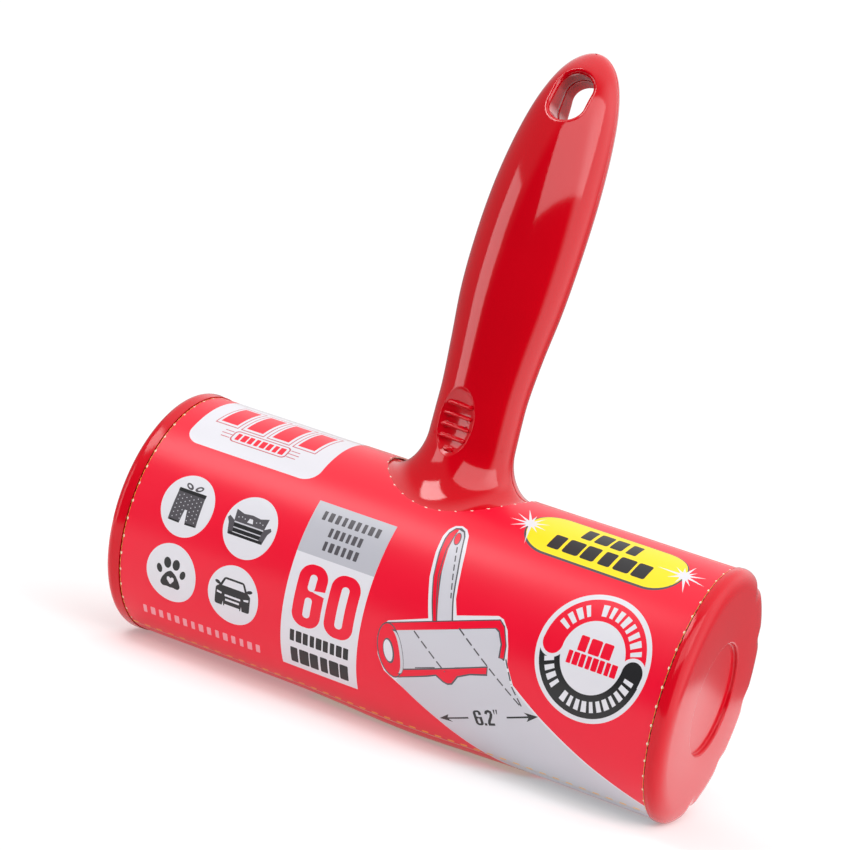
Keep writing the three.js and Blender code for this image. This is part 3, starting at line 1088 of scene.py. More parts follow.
@dataclass
class EndCap:
    """A round cap with a soft shoulder, a flat face with a round recess, and a spigot inside."""

    drum: Drum
    face_radius: float = 29.4
    shoulder: float = 81.9
    ledge: float = 81.3
    lip_from: float = 81.05
    lip_inner: float = 35.1
    recess_radius: float = 15.6
    recess_floor: float = 84.0
    rim: float = 0.75
    spigot: Pair = (30.2, 31.9)
    spigot_end: float = 80.0
    inner_face: float = 83.0
    boss_radius: float = 18.5
    boss_end: float = 80.7
    pin_radius: float = 5.0
    pin_end: float = 71.2
    scallop_angles: tuple[float, ...] = (118.0, 152.0, 186.0, 220.0, 254.0)
    scallop_half_deg: float = 8.0
    scallop_depth: float = 1.3

    def profile(self) -> Array:
        """Half the cap's section as radius and x: floor, recess, face, shoulder, skirt, boss, spigot.

        The shoulder is a superellipse of power 2.2, so that it leaves the face a little sooner than a
        circle would.

        Returns:
            Points by 2.
        """
        face, outer = self.drum.cap_face, self.drum.cap_radius
        recess = np.array(
            [
                [0.0, self.recess_floor],
                [self.recess_radius, self.recess_floor],
                [self.recess_radius, face],
                [self.face_radius - 1.2, face],
            ]
        )
        recess = softened(recess, np.array([0.0, 1.1, self.rim, 0.0]), 7)
        bend = np.linspace(0, np.pi / 2, 26)
        power = 2 / 2.2
        shoulder = np.stack(
            [
                self.face_radius + (outer - self.face_radius) * np.sin(bend) ** power,
                self.shoulder + (face - self.shoulder) * np.cos(bend) ** power,
            ],
            axis=-1,
        )
        inside = np.array(
            [
                [outer, self.lip_from],
                [self.lip_inner, self.lip_from],
                [self.lip_inner, self.ledge],
                [self.spigot[1], self.ledge],
                [self.spigot[1], self.spigot_end],
                [self.spigot[0], self.spigot_end],
                [self.spigot[0], self.inner_face],
                [self.boss_radius, self.inner_face],
                [self.boss_radius, self.boss_end],
                [self.pin_radius, self.boss_end],
                [self.pin_radius, self.pin_end],
                [0.0, self.pin_end],
            ]
        )
        inside = softened(inside, np.array([0.3, 0.1, 0.1, 0.1, 0.3, 0.3, 0.6, 0.4, 0.3, 0.5, 0.8, 0.0]), 4)
        return np.vstack([recess, shoulder, inside])

    def build(self, hand: int, node: str, body: str) -> None:
        """Build one cap.

        The grip scallops press the shoulder in: at each scallop's angle the outer 8 mm of the face
        and shoulder move in by the scallop's depth, times a squared cosine across it.

        Args:
            hand: 1 for the right cap and -1 for the left.
            node: the CAD node that it stands for.
            body: the body that it rides on.
        """
        profile = self.profile()
        angle = np.linspace(0, 2 * np.pi, 360, endpoint=False)[None]
        radius, x = profile[:, :1], profile[:, 1:]
        grip = np.zeros_like(angle)
        for centre in self.scallop_angles:
            off = (np.degrees(angle) - centre + 180) % 360 - 180
            inside = np.clip(np.abs(off) / self.scallop_half_deg, 0, 1)
            grip = np.maximum(grip, np.cos(inside * np.pi / 2) ** 2)
        outwards = np.clip((radius - (self.face_radius - 2.5)) / 5.0, 0, 1)
        edge = outwards * np.clip((x - self.ledge) / 0.4, 0, 1)
        edge = edge * edge * (3 - 2 * edge)
        radius = radius - self.scallop_depth * grip * edge
        skin = Skin()
        skin.grid(self.drum.point(hand * x, angle, radius), loop_columns=True)
        place_piece(skin.piece(node + "_moulding", CAP_PLASTIC), body, "red_cap_plastic", node)


@dataclass
class Cover:
    """The turning cover that shuts the case's window: an arched shell with a ring at each end."""

    drum: Drum
    inner: float = 30.3
    outer: float = 31.8
    half_length: float = 76.7
    angles: Pair = (-203.0, -77.0)
    tab_outer: float = 34.1
    tab_half_length: float = 11.0
    tab_span_deg: float = 2.5
    ring_inner: float = 28.2
    ring_from: float = 77.0
    ring_to: float = 79.4

    def build(self) -> None:
        """Build the shell with its thumb tab, and both rings."""
        skin = Skin()
        self.drum.arched_slab(
            skin, self.inner, self.outer, self.angles, (-self.half_length, self.half_length)
        )
        tab = (self.angles[1] - self.tab_span_deg, self.angles[1])
        tab_ends = (-self.tab_half_length, self.tab_half_length)
        self.drum.arched_slab(skin, self.inner + 0.2, self.tab_outer, tab, tab_ends, 0.6, 0.4)
        place_piece(
            skin.piece("cover_arched_shell", COVER_PLASTIC), "cover", "red_cover_plastic", "cover_shell"
        )
        ring = ring_section((self.ring_inner, self.outer), (self.ring_from, self.ring_to), 0.4, 5)
        for hand, node in ((-1, "cover_left_ring"), (1, "cover_right_ring")):
            skin = Skin()
            self.drum.turned(skin, ring * (1, hand), 160, closed=True)
            place_piece(skin.piece(node + "_moulding", COVER_PLASTIC), "cover", "red_cover_plastic", node)


@dataclass
class StickyRoll:
    """The roll of adhesive sheets on its board core, and the plastic spool that carries it."""

    drum: Drum
    half_length: float = 78.75
    tape: Pair = (20.3, 27.0)
    sheet: Pair = (27.2, 27.5)
    sheet_angles: Pair = (-70.0, 262.0)
    core: Pair = (18.6, 20.0)
    tube: Pair = (8.0, 10.0)
    tube_half_length: float = 65.7
    hub_bore: float = 5.3
    hub_plug: float = 18.3
    hub_plug_end: float = 66.0
    hub_flange: float = 24.0
    flange_from: float = 79.05
    flange_to: float = 79.9
    washer: Pair = (5.4, 9.0)
    washer_ends: Pair = (80.1, 80.5)

    def tube_piece(
        self, name: str, radii: Pair, ends: Pair, edge: float, finish: Finish, slot: str, node: str
    ) -> None:
        """Build a plain tube with rounded edges.

        Args:
            name: the piece's name.
            radii: inner and outer radius.
            ends: first and last x.
            edge: the edges' radius.
            finish: its finish.
            slot: its material slot.
            node: the CAD node that it stands for.
        """
        skin = Skin()
        self.drum.turned(skin, ring_section(radii, ends, edge, 4), 144, closed=True)
        place_piece(skin.piece(name, finish), "roll", slot, node)

    def build(self) -> None:
        """Build the roll and the spool."""
        ends = (-self.half_length, self.half_length)
        self.tube_piece(
            "adhesive_sheets_wound", self.tape, ends, 0.15, STICKY_PAPER, "tape_paper", "tape_roll"
        )
        skin = Skin()
        self.drum.arched_slab(skin, *self.sheet, self.sheet_angles, ends, 2.0, 0.12)
        place_piece(
            skin.piece("adhesive_sheet_outermost", STICKY_PAPER), "roll", "tape_paper", "leading_sheet"
        )
        self.tube_piece("core_board_tube", self.core, ends, 0.1, CORE_BOARD, "core_card", "cardboard_core")
        tube_ends = (-self.tube_half_length, self.tube_half_length)
        self.tube_piece("spool_tube", self.tube, tube_ends, 0.3, SPOOL_PLASTIC, "white_plastic", "hub_tube")
        hub = np.array(
            [
                [self.hub_bore, self.hub_plug_end],
                [self.hub_plug, self.hub_plug_end],
                [self.hub_plug, self.flange_from],
                [self.hub_flange, self.flange_from],
                [self.hub_flange, self.flange_to],
                [self.hub_bore, self.flange_to],
            ]
        )
        hub = softened(hub, np.array([0.3, 0.8, 0.3, 0.3, 0.3, 0.3]), 5)
        for hand, word in ((-1, "left"), (1, "right")):
            skin = Skin()
            self.drum.turned(skin, hub * (1, hand), 144, closed=True)
            place_piece(
                skin.piece(f"spool_{word}_hub", SPOOL_PLASTIC), "roll", "white_plastic", f"{word}_hub"
            )
            washer_ends = tuple(sorted(hand * x for x in self.washer_ends))
            self.tube_piece(
                f"spool_{word}_washer",
                self.washer,
                washer_ends,
                0.12,
                SPOOL_PLASTIC,
                "white_plastic",
                f"{word}_washer",
            )


@dataclass
class HandleScrews:
    """The two cross-head screws that hold the handle's halves together."""

    shank: float = 1.4
    head: float = 2.9
    head_height: float = 2.2
    cross_half_width: float = 0.45
    cross_reach: float = 1.7
    cross_depth: float = 1.3

    def build(self) -> None:
        """Build both screws."""
        for word in ("lower", "upper"):
            self._screw(word)

    def _screw(self, word: str) -> None:
        """Build a screw along y: a turned shank and head, with a cross pressed into the head.

        The cross is where either coordinate on the head is under its half width and the other under
        its reach. It slopes to its full depth over 0.2 mm.

        Args:
            word: which screw, as in its node's name.
        """
        node = f"handle_screw_{word}"
        low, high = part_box(node)
        tip, top, z = low.y / MM, high.y / MM, (low.z + high.z) / 2 / MM
        seat = top - self.head_height
        corners = np.array(
            [
                [0, tip],
                [self.shank * 0.5, tip + 0.01],
                [self.shank, tip + 1.5],
                [self.shank, seat],
                [self.head, seat],
                [self.head, top - 0.5],
                [self.head - 1.0, top - 0.02],
            ]
        )
        outline = softened(corners, np.array([0, 0.2, 0.3, 0.1, 0.2, 0.8, 0.4]), 5)
        radius = np.concatenate([outline[:, 0], np.linspace(self.head - 1.0, 0, 22)])
        y = np.concatenate([outline[:, 1], np.full(22, top - 0.02)])
        angle = np.linspace(0, 2 * np.pi, 96, endpoint=False)[None]
        across, up = radius[:, None] * np.cos(angle), radius[:, None] * np.sin(angle)
        inside = [
            (
                np.clip((self.cross_half_width - far) / 0.2, 0, 1),
                np.clip((self.cross_reach - far) / 0.3, 0, 1),
            )
            for far in (np.abs(across), np.abs(up))
        ]
        cross = np.maximum(inside[0][0] * inside[1][1], inside[1][0] * inside[0][1])
        on_head = (y > top - 0.6)[:, None]
        sunk = y[:, None] - self.cross_depth * cross * on_head
        skin = Skin()
        skin.grid(np.stack(np.broadcast_arrays(across, sunk, z + up), axis=-1), loop_columns=True)
        place_piece(skin.piece(node + "_cross_head", SCREW_STEEL), "case", "screw_steel", node)


# ---------------------------------------------------------------------------------------------
# The printed sleeve
# ---------------------------------------------------------------------------------------------


def spin(tilt_deg: float) -> Array:
    """The matrix that turns rows of points anticlockwise."""
    tilt = math.radians(tilt_deg)
    return np.array([[math.cos(tilt), math.sin(tilt)], [-math.sin(tilt), math.cos(tilt)]])


def oval(centre: Pair, half: Pair, tilt_deg: float = 0.0, count: int = 56) -> Array:
    """An ellipse as a closed polygon.

    Args:
        centre: its centre.
        half: its half axes.
        tilt_deg: its turn, anticlockwise.
        count: its corners.

    Returns:
        Corners by 2.
    """
    turn = np.linspace(0, 2 * np.pi, count, endpoint=False)
    flat = np.stack([half[0] * np.cos(turn), half[1] * np.sin(turn)], axis=-1)
    return flat @ spin(tilt_deg) + centre


def rounded_box(centre: Pair, half: Pair, radius: float, tilt_deg: float = 0.0) -> Array:
    """A rectangle with round corners as a closed polygon.

    Args:
        centre: its centre.
        half: half its width and height.
        radius: the corners' radius.
        tilt_deg: its turn, anticlockwise.

    Returns:
        Corners by 2.
    """
    turn = np.linspace(0, 2 * np.pi, 40, endpoint=False) + np.pi / 40
    corner = np.stack([np.sign(np.cos(turn)), np.sign(np.sin(turn))], axis=-1)
    flat = corner * (np.array(half) - radius) + radius * np.stack([np.cos(turn), np.sin(turn)], axis=-1)
    return flat @ spin(tilt_deg) + centre


def band(centre: Pair, half: Pair, shares: Pair, angles: Pair) -> Array:
    """A piece of an oval ring as a closed polygon.

    Args:
        centre: the ring's centre.
        half: the half axes of the full oval.
        shares: the ring's inner and outer edge, as shares of the oval.
        angles: first and last angle in degrees, anticlockwise from the right.

    Returns:
        Corners by 2.
    """
    turn = np.radians(np.linspace(*angles, max(3, int(abs(angles[1] - angles[0]) / 5))))
    arc = np.stack([half[0] * np.cos(turn), half[1] * np.sin(turn)], axis=-1)
    return np.vstack([arc * shares[1], arc[::-1] * shares[0]]) + centre


def stroke(points: list[Pair], width: float) -> Array:
    """A line of even width as a closed polygon: the points moved to each side of the line.

    Args:
        points: the line's points.
        width: its width.

    Returns:
        Corners by 2.
    """
    line = np.array(points, float)
    along = np.gradient(line, axis=0)
    along /= np.linalg.norm(along, axis=1, keepdims=True)
    aside = np.stack([-along[:, 1], along[:, 0]], axis=-1) * width / 2
    return np.vstack([line + aside, (line - aside)[::-1]])


class Artwork:
    """Flat printed artwork: polygons in inks, each printed over those before it.

    Across is x, and up is the arc length round the sleeve from its front line, both in millimetres.
    """

    def __init__(self) -> None:
        """Start with nothing printed."""
        self.shapes: list[tuple[Ink, Array]] = []

    def add(self, ink: Ink, *polygons: Array | list[Pair]) -> None:
        """Print polygons in an ink."""
        self.shapes += [(ink, np.array(p, float)) for p in polygons]

    def words(
        self,
        ink: Ink,
        centre: Pair,
        size: Pair,
        count: int,
        slant: float = 0.0,
        tilt_deg: float = 0.0,
        weight: float = 0.72,
    ) -> None:
        """Print a row of plain blocks where a line of words would stand.

        Args:
            ink: the blocks' ink.
            centre: the row's centre.
            size: the row's width and height.
            count: the number of blocks.
            slant: how far each block's top leans to the right, as a share of its height.
            tilt_deg: the row's turn.
            weight: the share of the row that the blocks fill.
        """
        pitch = size[0] / count
        for i in range(count):
            wide = pitch * weight * (0.86 + 0.14 * ((i * 5) % 3))
            block = rounded_box((0, 0), (wide / 2, size[1] / 2), min(wide, size[1]) * 0.16)
            block[:, 0] += slant * block[:, 1] + pitch * (i - (count - 1) / 2)
            self.add(ink, block @ spin(tilt_deg) + centre)

    def dashes(self, ink: Ink, start: Pair, end: Pair, dash: float, gap: float, width: float) -> None:
        """Print a dashed line.

        Args:
            ink: the line's ink.
            start: its start.
            end: its end.
            dash: a dash's length.
            gap: the space after a dash.
            width: the line's width.
        """
        a, b = np.array(start), np.array(end)
        length = float(np.linalg.norm(b - a))
        heading = (b - a) / length
        for at in np.arange(0, length, dash + gap):
            ends = [tuple(a + heading * at), tuple(a + heading * min(at + dash, length))]
            self.add(ink, stroke(ends, width))

    def star(self, centre: Pair, rays: tuple[Pair, ...], core: float) -> None:
        """Print a white sparkle: thin rays, each with its own length and direction, on a round core.

        Args:
            centre: its centre.
            rays: each ray's angle in degrees and length.
            core: the core's size.
        """
        self.add(Ink.WHITE, oval(centre, (core * 1.6, core * 1.6), count=24))
        for angle, length in rays:
            a = math.radians(angle)
            aside = np.array([-math.sin(a), math.cos(a)]) * core * 0.55
            tip = np.array([math.cos(a), math.sin(a)]) * length
            self.add(Ink.WHITE, np.array([aside, tip, -aside]) + centre)


class FrontArtwork(Artwork):
    """What is printed on the front of the sleeve."""

    def __init__(self) -> None:
        """Print each part of the design."""
        super().__init__()
        self.sheet_and_pictogram()
        self.emblem_panel()
        self.use_icons()
        self.sheet_count()
        self.yellow_badge()
        self.round_badge()

    def emblem_panel(self) -> None:
        """A white panel over the drum's top, with a plain emblem: a row of equal slanted blocks."""
        self.add(Ink.WHITE, rounded_box((-53.1, 47.2), (20.9, 20.4), 4.6))
        slab = np.array([(-0.86, -1.0), (0.74, -1.0), (1.0, 1.0), (-0.6, 1.0)])
        for ink, growth in ((Ink.ROSE, 1.35), (Ink.WHITE, 0.95), (Ink.RED, 0.0)):
            for across in (-66.0, -57.7, -49.4, -41.1):
                self.add(ink, slab * (3.3 + growth, 6.0 + growth) + (across, 44.6))
        self.add(Ink.ROSE, rounded_box((-53.3, 34.0), (9.0, 2.5), 1.4))
        self.add(Ink.WHITE, rounded_box((-53.3, 34.0), (8.6, 2.15), 1.2))
        self.words(Ink.RED, (-53.3, 34.0), (16.0, 2.9), 8, weight=0.74)
        for i in range(3):
            for side in (-1, 1):
                self.add(
                    Ink.ROSE,
                    rounded_box((-53.3 + side * 10.6, 32.6 + 1.4 * i), (1.4 + 0.4 * (i == 1), 0.16), 0.1),
                )

    def use_icons(self) -> None:
        """Four white ovals: trousers, a sofa, a paw and a car, over a line of small print."""
        for u in (-62.8, -42.8):
            for v in (8.6, -11.2):
                self.add(Ink.WHITE, oval((u, v), (7.95, 8.8), count=72))
        icons = (
            (self._trousers, (-62.8, 9.0)),
            (self._sofa, (-43.3, 8.8)),
            (self._paw, (-62.9, -11.4)),
            (self._car, (-42.9, -10.6)),
        )
        for draw, at in icons:
            first = len(self.shapes)
            draw()
            self.shapes[first:] = [(ink, polygon + at) for ink, polygon in self.shapes[first:]]
        self.words(Ink.PINK, (-53.6, -26.7), (39.6, 3.3), 15, slant=0.1, tilt_deg=1.0, weight=0.5)

    def _trousers(self) -> None:
        """Patterned trousers with a bow at the waist."""
        body = np.array(
            [
                (-4.2, 3.6), (4.2, 3.6), (4.5, -5.4), (0.9, -5.5), (0.35, -1.6), (-0.35, -1.6), (-0.9, -5.5),
                (-4.5, -5.4),
            ]
        )
        self.add(Ink.GREY, body)
        self.add(Ink.BLACK, rounded_box((0, 3.4), (4.3, 0.5), 0.2))
        for side in (-1, 1):
            self.add(Ink.GREY, oval((side * 1.5, 4.9), (1.3, 0.75), side * 28, 24))
            self.add(Ink.WHITE, oval((side * 1.6, 4.95), (0.65, 0.3), side * 28, 16))
            self.add(Ink.BLACK, stroke([(side * 4.1, -5.2), (side * 0.9, -5.3)], 0.5))
        spots = [(i * 1.15 - 3.45, j * 1.2 - 4.3 + 0.6 * (i % 2)) for i in range(7) for j in range(6)]
        for u, v in spots:
            if abs(u) > 1.0 or v > -0.9:
                self.add(Ink.SHEET, oval((u, v), (0.17, 0.17), count=6))

    def _sofa(self) -> None:
        """A sofa seen from the front, with scrolled arms and two cushions."""
        back = np.array([(-5.1, 3.6), (-2.6, 2.9), (0, 3.2), (2.6, 2.9), (5.1, 3.6), (4.7, 0.2), (-4.7, 0.2)])
        self.add(Ink.GREY, back)
        self.add(Ink.SHEET, stroke([(-4.5, 0.1), (4.5, 0.1)], 0.35))
        seat = np.array([(-4.6, -0.1), (4.6, -0.1), (4.9, -2.6), (-4.9, -2.6)])
        self.add(Ink.BLACK, seat)
        self.add(Ink.WHITE, np.array([(-0.9, 0.9), (0.9, 0.9), (0.5, 2.1), (-0.5, 2.1)]))
        self.add(Ink.SHEET, stroke([(-4.6, -1.4), (4.6, -1.4)], 0.3))
        for side in (-1, 1):
            arm = np.array(
                [
                    (side * 4.0, -3.4),
                    (side * 4.6, 0.4),
                    (side * 6.4, 1.4),
                    (side * 6.9, 0.7),
                    (side * 6.1, -0.6),
                    (side * 5.4, -3.6),
                ]
            )
            self.add(Ink.GREY, arm)
            for k in range(3):
                self.add(
                    Ink.SHEET, oval((side * (1.8 + k * 1.0), 1.6 + 0.3 * (k % 2)), (0.18, 0.18), count=6)
                )
        self.add(Ink.BLACK, stroke([(-5.2, -3.2), (5.2, -3.2)], 0.8))

    def _paw(self) -> None:
        """A paw print with a heart in its pad."""
        toes = (
            (-3.7, 0.9, 0.85, 1.35, 18), (-1.35, 3.25, 1.15, 1.6, 6), (1.45, 3.25, 1.15, 1.6, -6),
            (3.8, 0.9, 0.85, 1.35, -18),
        )
        for u, v, wide, high, tilt in toes:
            self.add(Ink.BLACK, oval((u, v), (wide, high), tilt, 28))
        pad = np.array(
            [
                (0, 1.3), (1.5, 0.3), (2.7, -1.5), (3.3, -3.2), (2.5, -4.2), (0.9, -3.9), (0, -4.1),
                (-0.9, -3.9), (-2.5, -4.2), (-3.3, -3.2), (-2.7, -1.5), (-1.5, 0.3),
            ]
        )
        self.add(Ink.BLACK, softened(pad, np.full(len(pad), 0.6), 4))
        heart = np.array(
            [
                (0, -3.1), (1.15, -1.7), (1.05, -0.9), (0.55, -0.7), (0, -1.2), (-0.55, -0.7), (-1.05, -0.9),
                (-1.15, -1.7),
            ]
        )
        self.add(Ink.WHITE, softened(heart, np.full(len(heart), 0.25), 3))

    def _car(self) -> None:
        """A car seen from the front."""
        roof = np.array(
            [
                (-3.1, 4.3), (3.1, 4.3), (4.4, 1.6), (5.5, 0.9), (5.5, -4.3), (-5.5, -4.3), (-5.5, 0.9),
                (-4.4, 1.6),
            ]
        )
        self.add(Ink.BLACK, softened(roof, np.full(len(roof), 0.7), 4))
        self.add(Ink.WHITE, np.array([(-2.7, 3.7), (2.7, 3.7), (3.6, 1.7), (-3.6, 1.7)]))
        for side in (-1, 1):
            self.add(Ink.BLACK, oval((side * 5.0, 2.2), (0.95, 0.5), side * 20, 20))
            lamp = np.array([(side * 5.0, -0.1), (side * 3.4, -0.5), (side * 3.6, -0.95), (side * 5.0, -0.8)])
            self.add(Ink.WHITE, lamp)
            self.add(Ink.WHITE, np.array([(side * 2.9, -2.9), (side * 3.2, -4.5), (side * 2.7, -4.5)]))
        self.add(Ink.WHITE, rounded_box((0, -1.0), (2.5, 0.3), 0.1), rounded_box((0, -2.3), (2.2, 0.3), 0.1))
        self.add(Ink.WHITE, rounded_box((0, -4.2), (2.4, 0.45), 0.1))

    def sheet_count(self) -> None:
        """A tall white panel with a silver head, the number of sheets in red, and two lines in black."""
        self.add(Ink.WHITE, [(-27.3, -28.0), (-3.8, -28.0), (-3.6, 22.3), (-27.4, 22.4)])
        self.add(Ink.SILVER, [(-27.35, 7.2), (-3.7, 7.2), (-3.6, 22.3), (-27.4, 22.4)])
        self.words(Ink.GREY, (-15.7, 18.6), (18.4, 2.7), 9, weight=0.6)
        self.words(Ink.GREY, (-15.6, 14.5), (10.8, 2.6), 6, weight=0.6)
        self.words(Ink.GREY, (-15.4, 10.6), (11.4, 2.6), 6, weight=0.6)
        self.six((-20.15, -3.75))
        self.nought((-10.2, -3.75))
        self.words(Ink.BLACK, (-15.4, -16.3), (18.7, 3.7), 9, weight=0.76)
        self.words(Ink.BLACK, (-15.4, -23.1), (18.6, 5.6), 6, weight=0.84)

    def nought(self, at: Pair) -> None:
        """A tall bold 0."""
        self.add(Ink.RED, rounded_box(at, (4.4, 8.85), 3.9))
        self.add(Ink.WHITE, rounded_box(at, (1.15, 5.9), 1.1))

    def six(self, at: Pair) -> None:
        """A tall bold 6: a 0 with a waist, closed below and open at the upper right.

        Args:
            at: its centre.
        """
        self.add(Ink.RED, rounded_box(at, (4.35, 8.85), 3.9))
        for up, half_height in ((-3.1, 2.9), (3.9, 2.3)):
            self.add(Ink.WHITE, rounded_box((at[0] + 0.05, at[1] + up), (1.1, half_height), 1.0))
        gap = np.array([(0.2, 1.9), (4.6, 2.6), (4.6, 1.0), (3.4, 1.25), (1.1, 1.5)])
        self.add(Ink.WHITE, gap + at)

    def yellow_badge(self) -> None:
        """A yellow badge with a grey edge, two rows of dark blocks and a sparkle at each end."""
        centre, half = (50.3, 38.4), (22.6, 9.1)
        self.add(
            Ink.GREY, rounded_box((centre[0], centre[1] - 0.25), (half[0] + 0.15, half[1] + 0.3), 8.6, -0.6)
        )
        self.add(Ink.YELLOW, rounded_box(centre, (half[0] - 0.25, half[1] - 0.25), 8.2, -0.6))
        self.words(Ink.BLACK, (50.3, 42.3), (17.4, 5.6), 4, slant=0.08, tilt_deg=-0.8, weight=0.8)
        self.words(Ink.BLACK, (50.0, 34.7), (29.4, 5.9), 6, slant=0.08, tilt_deg=-0.6, weight=0.82)
        left = (
            (118, 8.2), (95, 4.6), (150, 6.2), (183, 6.0), (215, 5.6), (248, 4.0), (285, 8.6), (318, 4.4),
            (350, 5.0), (25, 5.2), (62, 5.2),
        )
        right = (
            (80, 6.2), (52, 4.0), (20, 5.8), (345, 6.6), (312, 4.6), (290, 7.0), (255, 4.0), (215, 4.6),
            (178, 7.8), (140, 4.4), (110, 4.2),
        )
        self.star((28.0, 38.6), left, 0.95)
        self.star((72.6, 38.2), right, 1.05)

    def round_badge(self) -> None:
        """A round badge: a white edge, a red arc above, a black arc below, and a white centre."""
        centre, half = (60.6, 6.3), (15.4, 17.3)
        self.add(Ink.WHITE, oval(centre, half, count=96))
        self.add(Ink.RED, band(centre, half, (0.56, 0.915), (-2, 174)))
        self.add(Ink.BLACK, band(centre, half, (0.56, 0.925), (-174, -10)))
        for ink, angle, last in ((Ink.BLACK, -3.0, -40.0), (Ink.RED, 177.0, 140.0)):
            a = math.radians(angle)
            end = (centre[0] + 0.738 * half[0] * math.cos(a), centre[1] + 0.738 * half[1] * math.sin(a))
            self.add(Ink.WHITE, oval(end, (half[0] * 0.235, half[1] * 0.235), count=36))
            self.add(ink, oval(end, (half[0] * 0.18, half[1] * 0.18), count=36))
            self.add(ink, band(centre, half, (0.56, 0.915), (min(angle, last), max(angle, last))))
        self._arc_blocks(centre, half, (152, 20), 13, 0.735, 0.19)
        self._arc_blocks(centre, half, (-163, -14), 16, 0.745, 0.17)
        self.words(Ink.RED, (60.5, 8.9), (10.0, 4.2), 3, weight=0.82)
        self.words(Ink.WHITE, (61.0, 4.7), (15.4, 4.4), 1, weight=1.0)
        self.words(Ink.RED, (60.9, 4.7), (14.2, 3.4), 8, weight=0.8)

    def _arc_blocks(
        self, centre: Pair, half: Pair, angles: Pair, count: int, share: float, height: float
    ) -> None:
        """Print small white blocks along an oval arc, where words would stand.

        Args:
            centre: the oval's centre.
            half: its half axes.
            angles: first and last angle, in degrees.
            count: the places for blocks, of which the fifth stays empty.
            share: the row's middle, as a share of the oval.
            height: the blocks' height, as a share of the oval.
        """
        for i, angle in enumerate(np.linspace(*angles, count)):
            if i == 4:
                continue
            step = abs(angles[1] - angles[0]) / count * (0.27 + 0.05 * (i % 3))
            low, high = share - height / 2, share + height / 2
            self.add(Ink.WHITE, band(centre, half, (low, high), (angle - step, angle + step)))

    def sheet_and_pictogram(self) -> None:
        """A pale sheet running down from a drawing of the roller, with its width between arrows."""
        edge = [
            (1.6, -7.6), (2.1, -4.6), (3.8, -2.4), (14.6, 1.7), (13.0, 6.2), (11.0, 12.2), (9.6, 19.2),
            (9.2, 24.2), (9.7, 26.8), (10.8, 28.5), (12.5, 29.2), (14.2, 28.6), (15.6, 26.8), (17.2, 21.7),
            (18.7, 15.5), (20.2, 8.9), (21.9, 4.9), (33.0, 8.4), (34.6, 8.0), (36.6, 5.6), (38.1, 1.7),
            (39.1, -2.6), (41.9, -7.6), (50.2, -13.6), (64.8, -23.5), (82.0, -34.4), (84.0, -52.0),
            (48.0, -52.0), (34.0, -38.9), (20.0, -27.5), (10.5, -20.4), (4.7, -16.9), (2.5, -12.6),
        ]
        self.add(Ink.WHITE, edge)
        fill = [
            (9.3, -17.3), (34.0, -7.2), (38.4, -2.6), (41.3, -7.9), (49.8, -14.0), (64.4, -23.9),
            (82.0, -35.1), (84.0, -52.0), (48.8, -52.0), (34.6, -39.0), (20.5, -27.8), (10.9, -20.7),
            (8.4, -18.6),
        ]
        self.add(Ink.SHEET, fill)
        self._drawn_handle()
        self._drawn_drum()
        for start, end in (
            ((11.6, -2.7), (22.4, -10.7)), ((23.6, 2.0), (45.0, -12.7)), ((38.4, -1.6), (41.4, -7.6)),
            ((41.6, -8.1), (45.7, -13.2)),
        ):
            self.dashes(Ink.GREY, start, end, 2.4, 0.9, 0.4)
        self._arrow((30.2, -22.6), (21.3, -27.1))
        self._arrow((41.4, -17.6), (50.2, -13.8))
        self._width_mark((35.8, -20.2), 23.5)

    def _drawn_handle(self) -> None:
        """The drawing's handle: pale, red along its left side, with a hang hole."""
        self.add(
            Ink.GREY,
            [
                (10.2, 25.8), (11.2, 27.9), (12.6, 28.5), (14.0, 27.8), (14.9, 26.2), (17.9, 15.8),
                (19.6, 8.8), (21.4, 3.3), (15.9, 1.3), (14.0, 6.2), (11.9, 12.4), (10.4, 19.4), (10.0, 23.6),
            ],
        )
        self.add(
            Ink.RED,
            [
                (10.5, 25.4), (11.4, 27.5), (12.4, 27.8), (12.6, 22.0), (13.6, 13.0), (17.2, 1.8),
                (16.2, 1.4), (14.3, 6.4), (12.2, 12.4), (10.8, 19.4), (10.4, 23.6),
            ],
        )
        self.add(Ink.GREY, stroke([(12.2, 26.6), (12.0, 21.0), (13.2, 13.0), (15.6, 5.8), (17.0, 1.8)], 0.3))
        self.add(
            Ink.SHEET,
            [
                (12.3, 27.7), (13.8, 27.3), (14.6, 25.9), (17.5, 15.8), (19.2, 8.8), (21.0, 3.2), (17.2, 1.8),
                (15.4, 8.0), (13.6, 14.6), (12.4, 21.0), (12.2, 25.0),
            ],
        )
        self.add(Ink.GREY, oval((13.3, 24.8), (0.95, 2.1), 12, 28))
        self.add(Ink.RED, oval((13.25, 24.8), (0.7, 1.8), 12, 28))
        self.dashes(Ink.GREY, (14.4, 22.4), (18.8, 8.6), 1.8, 0.8, 0.34)

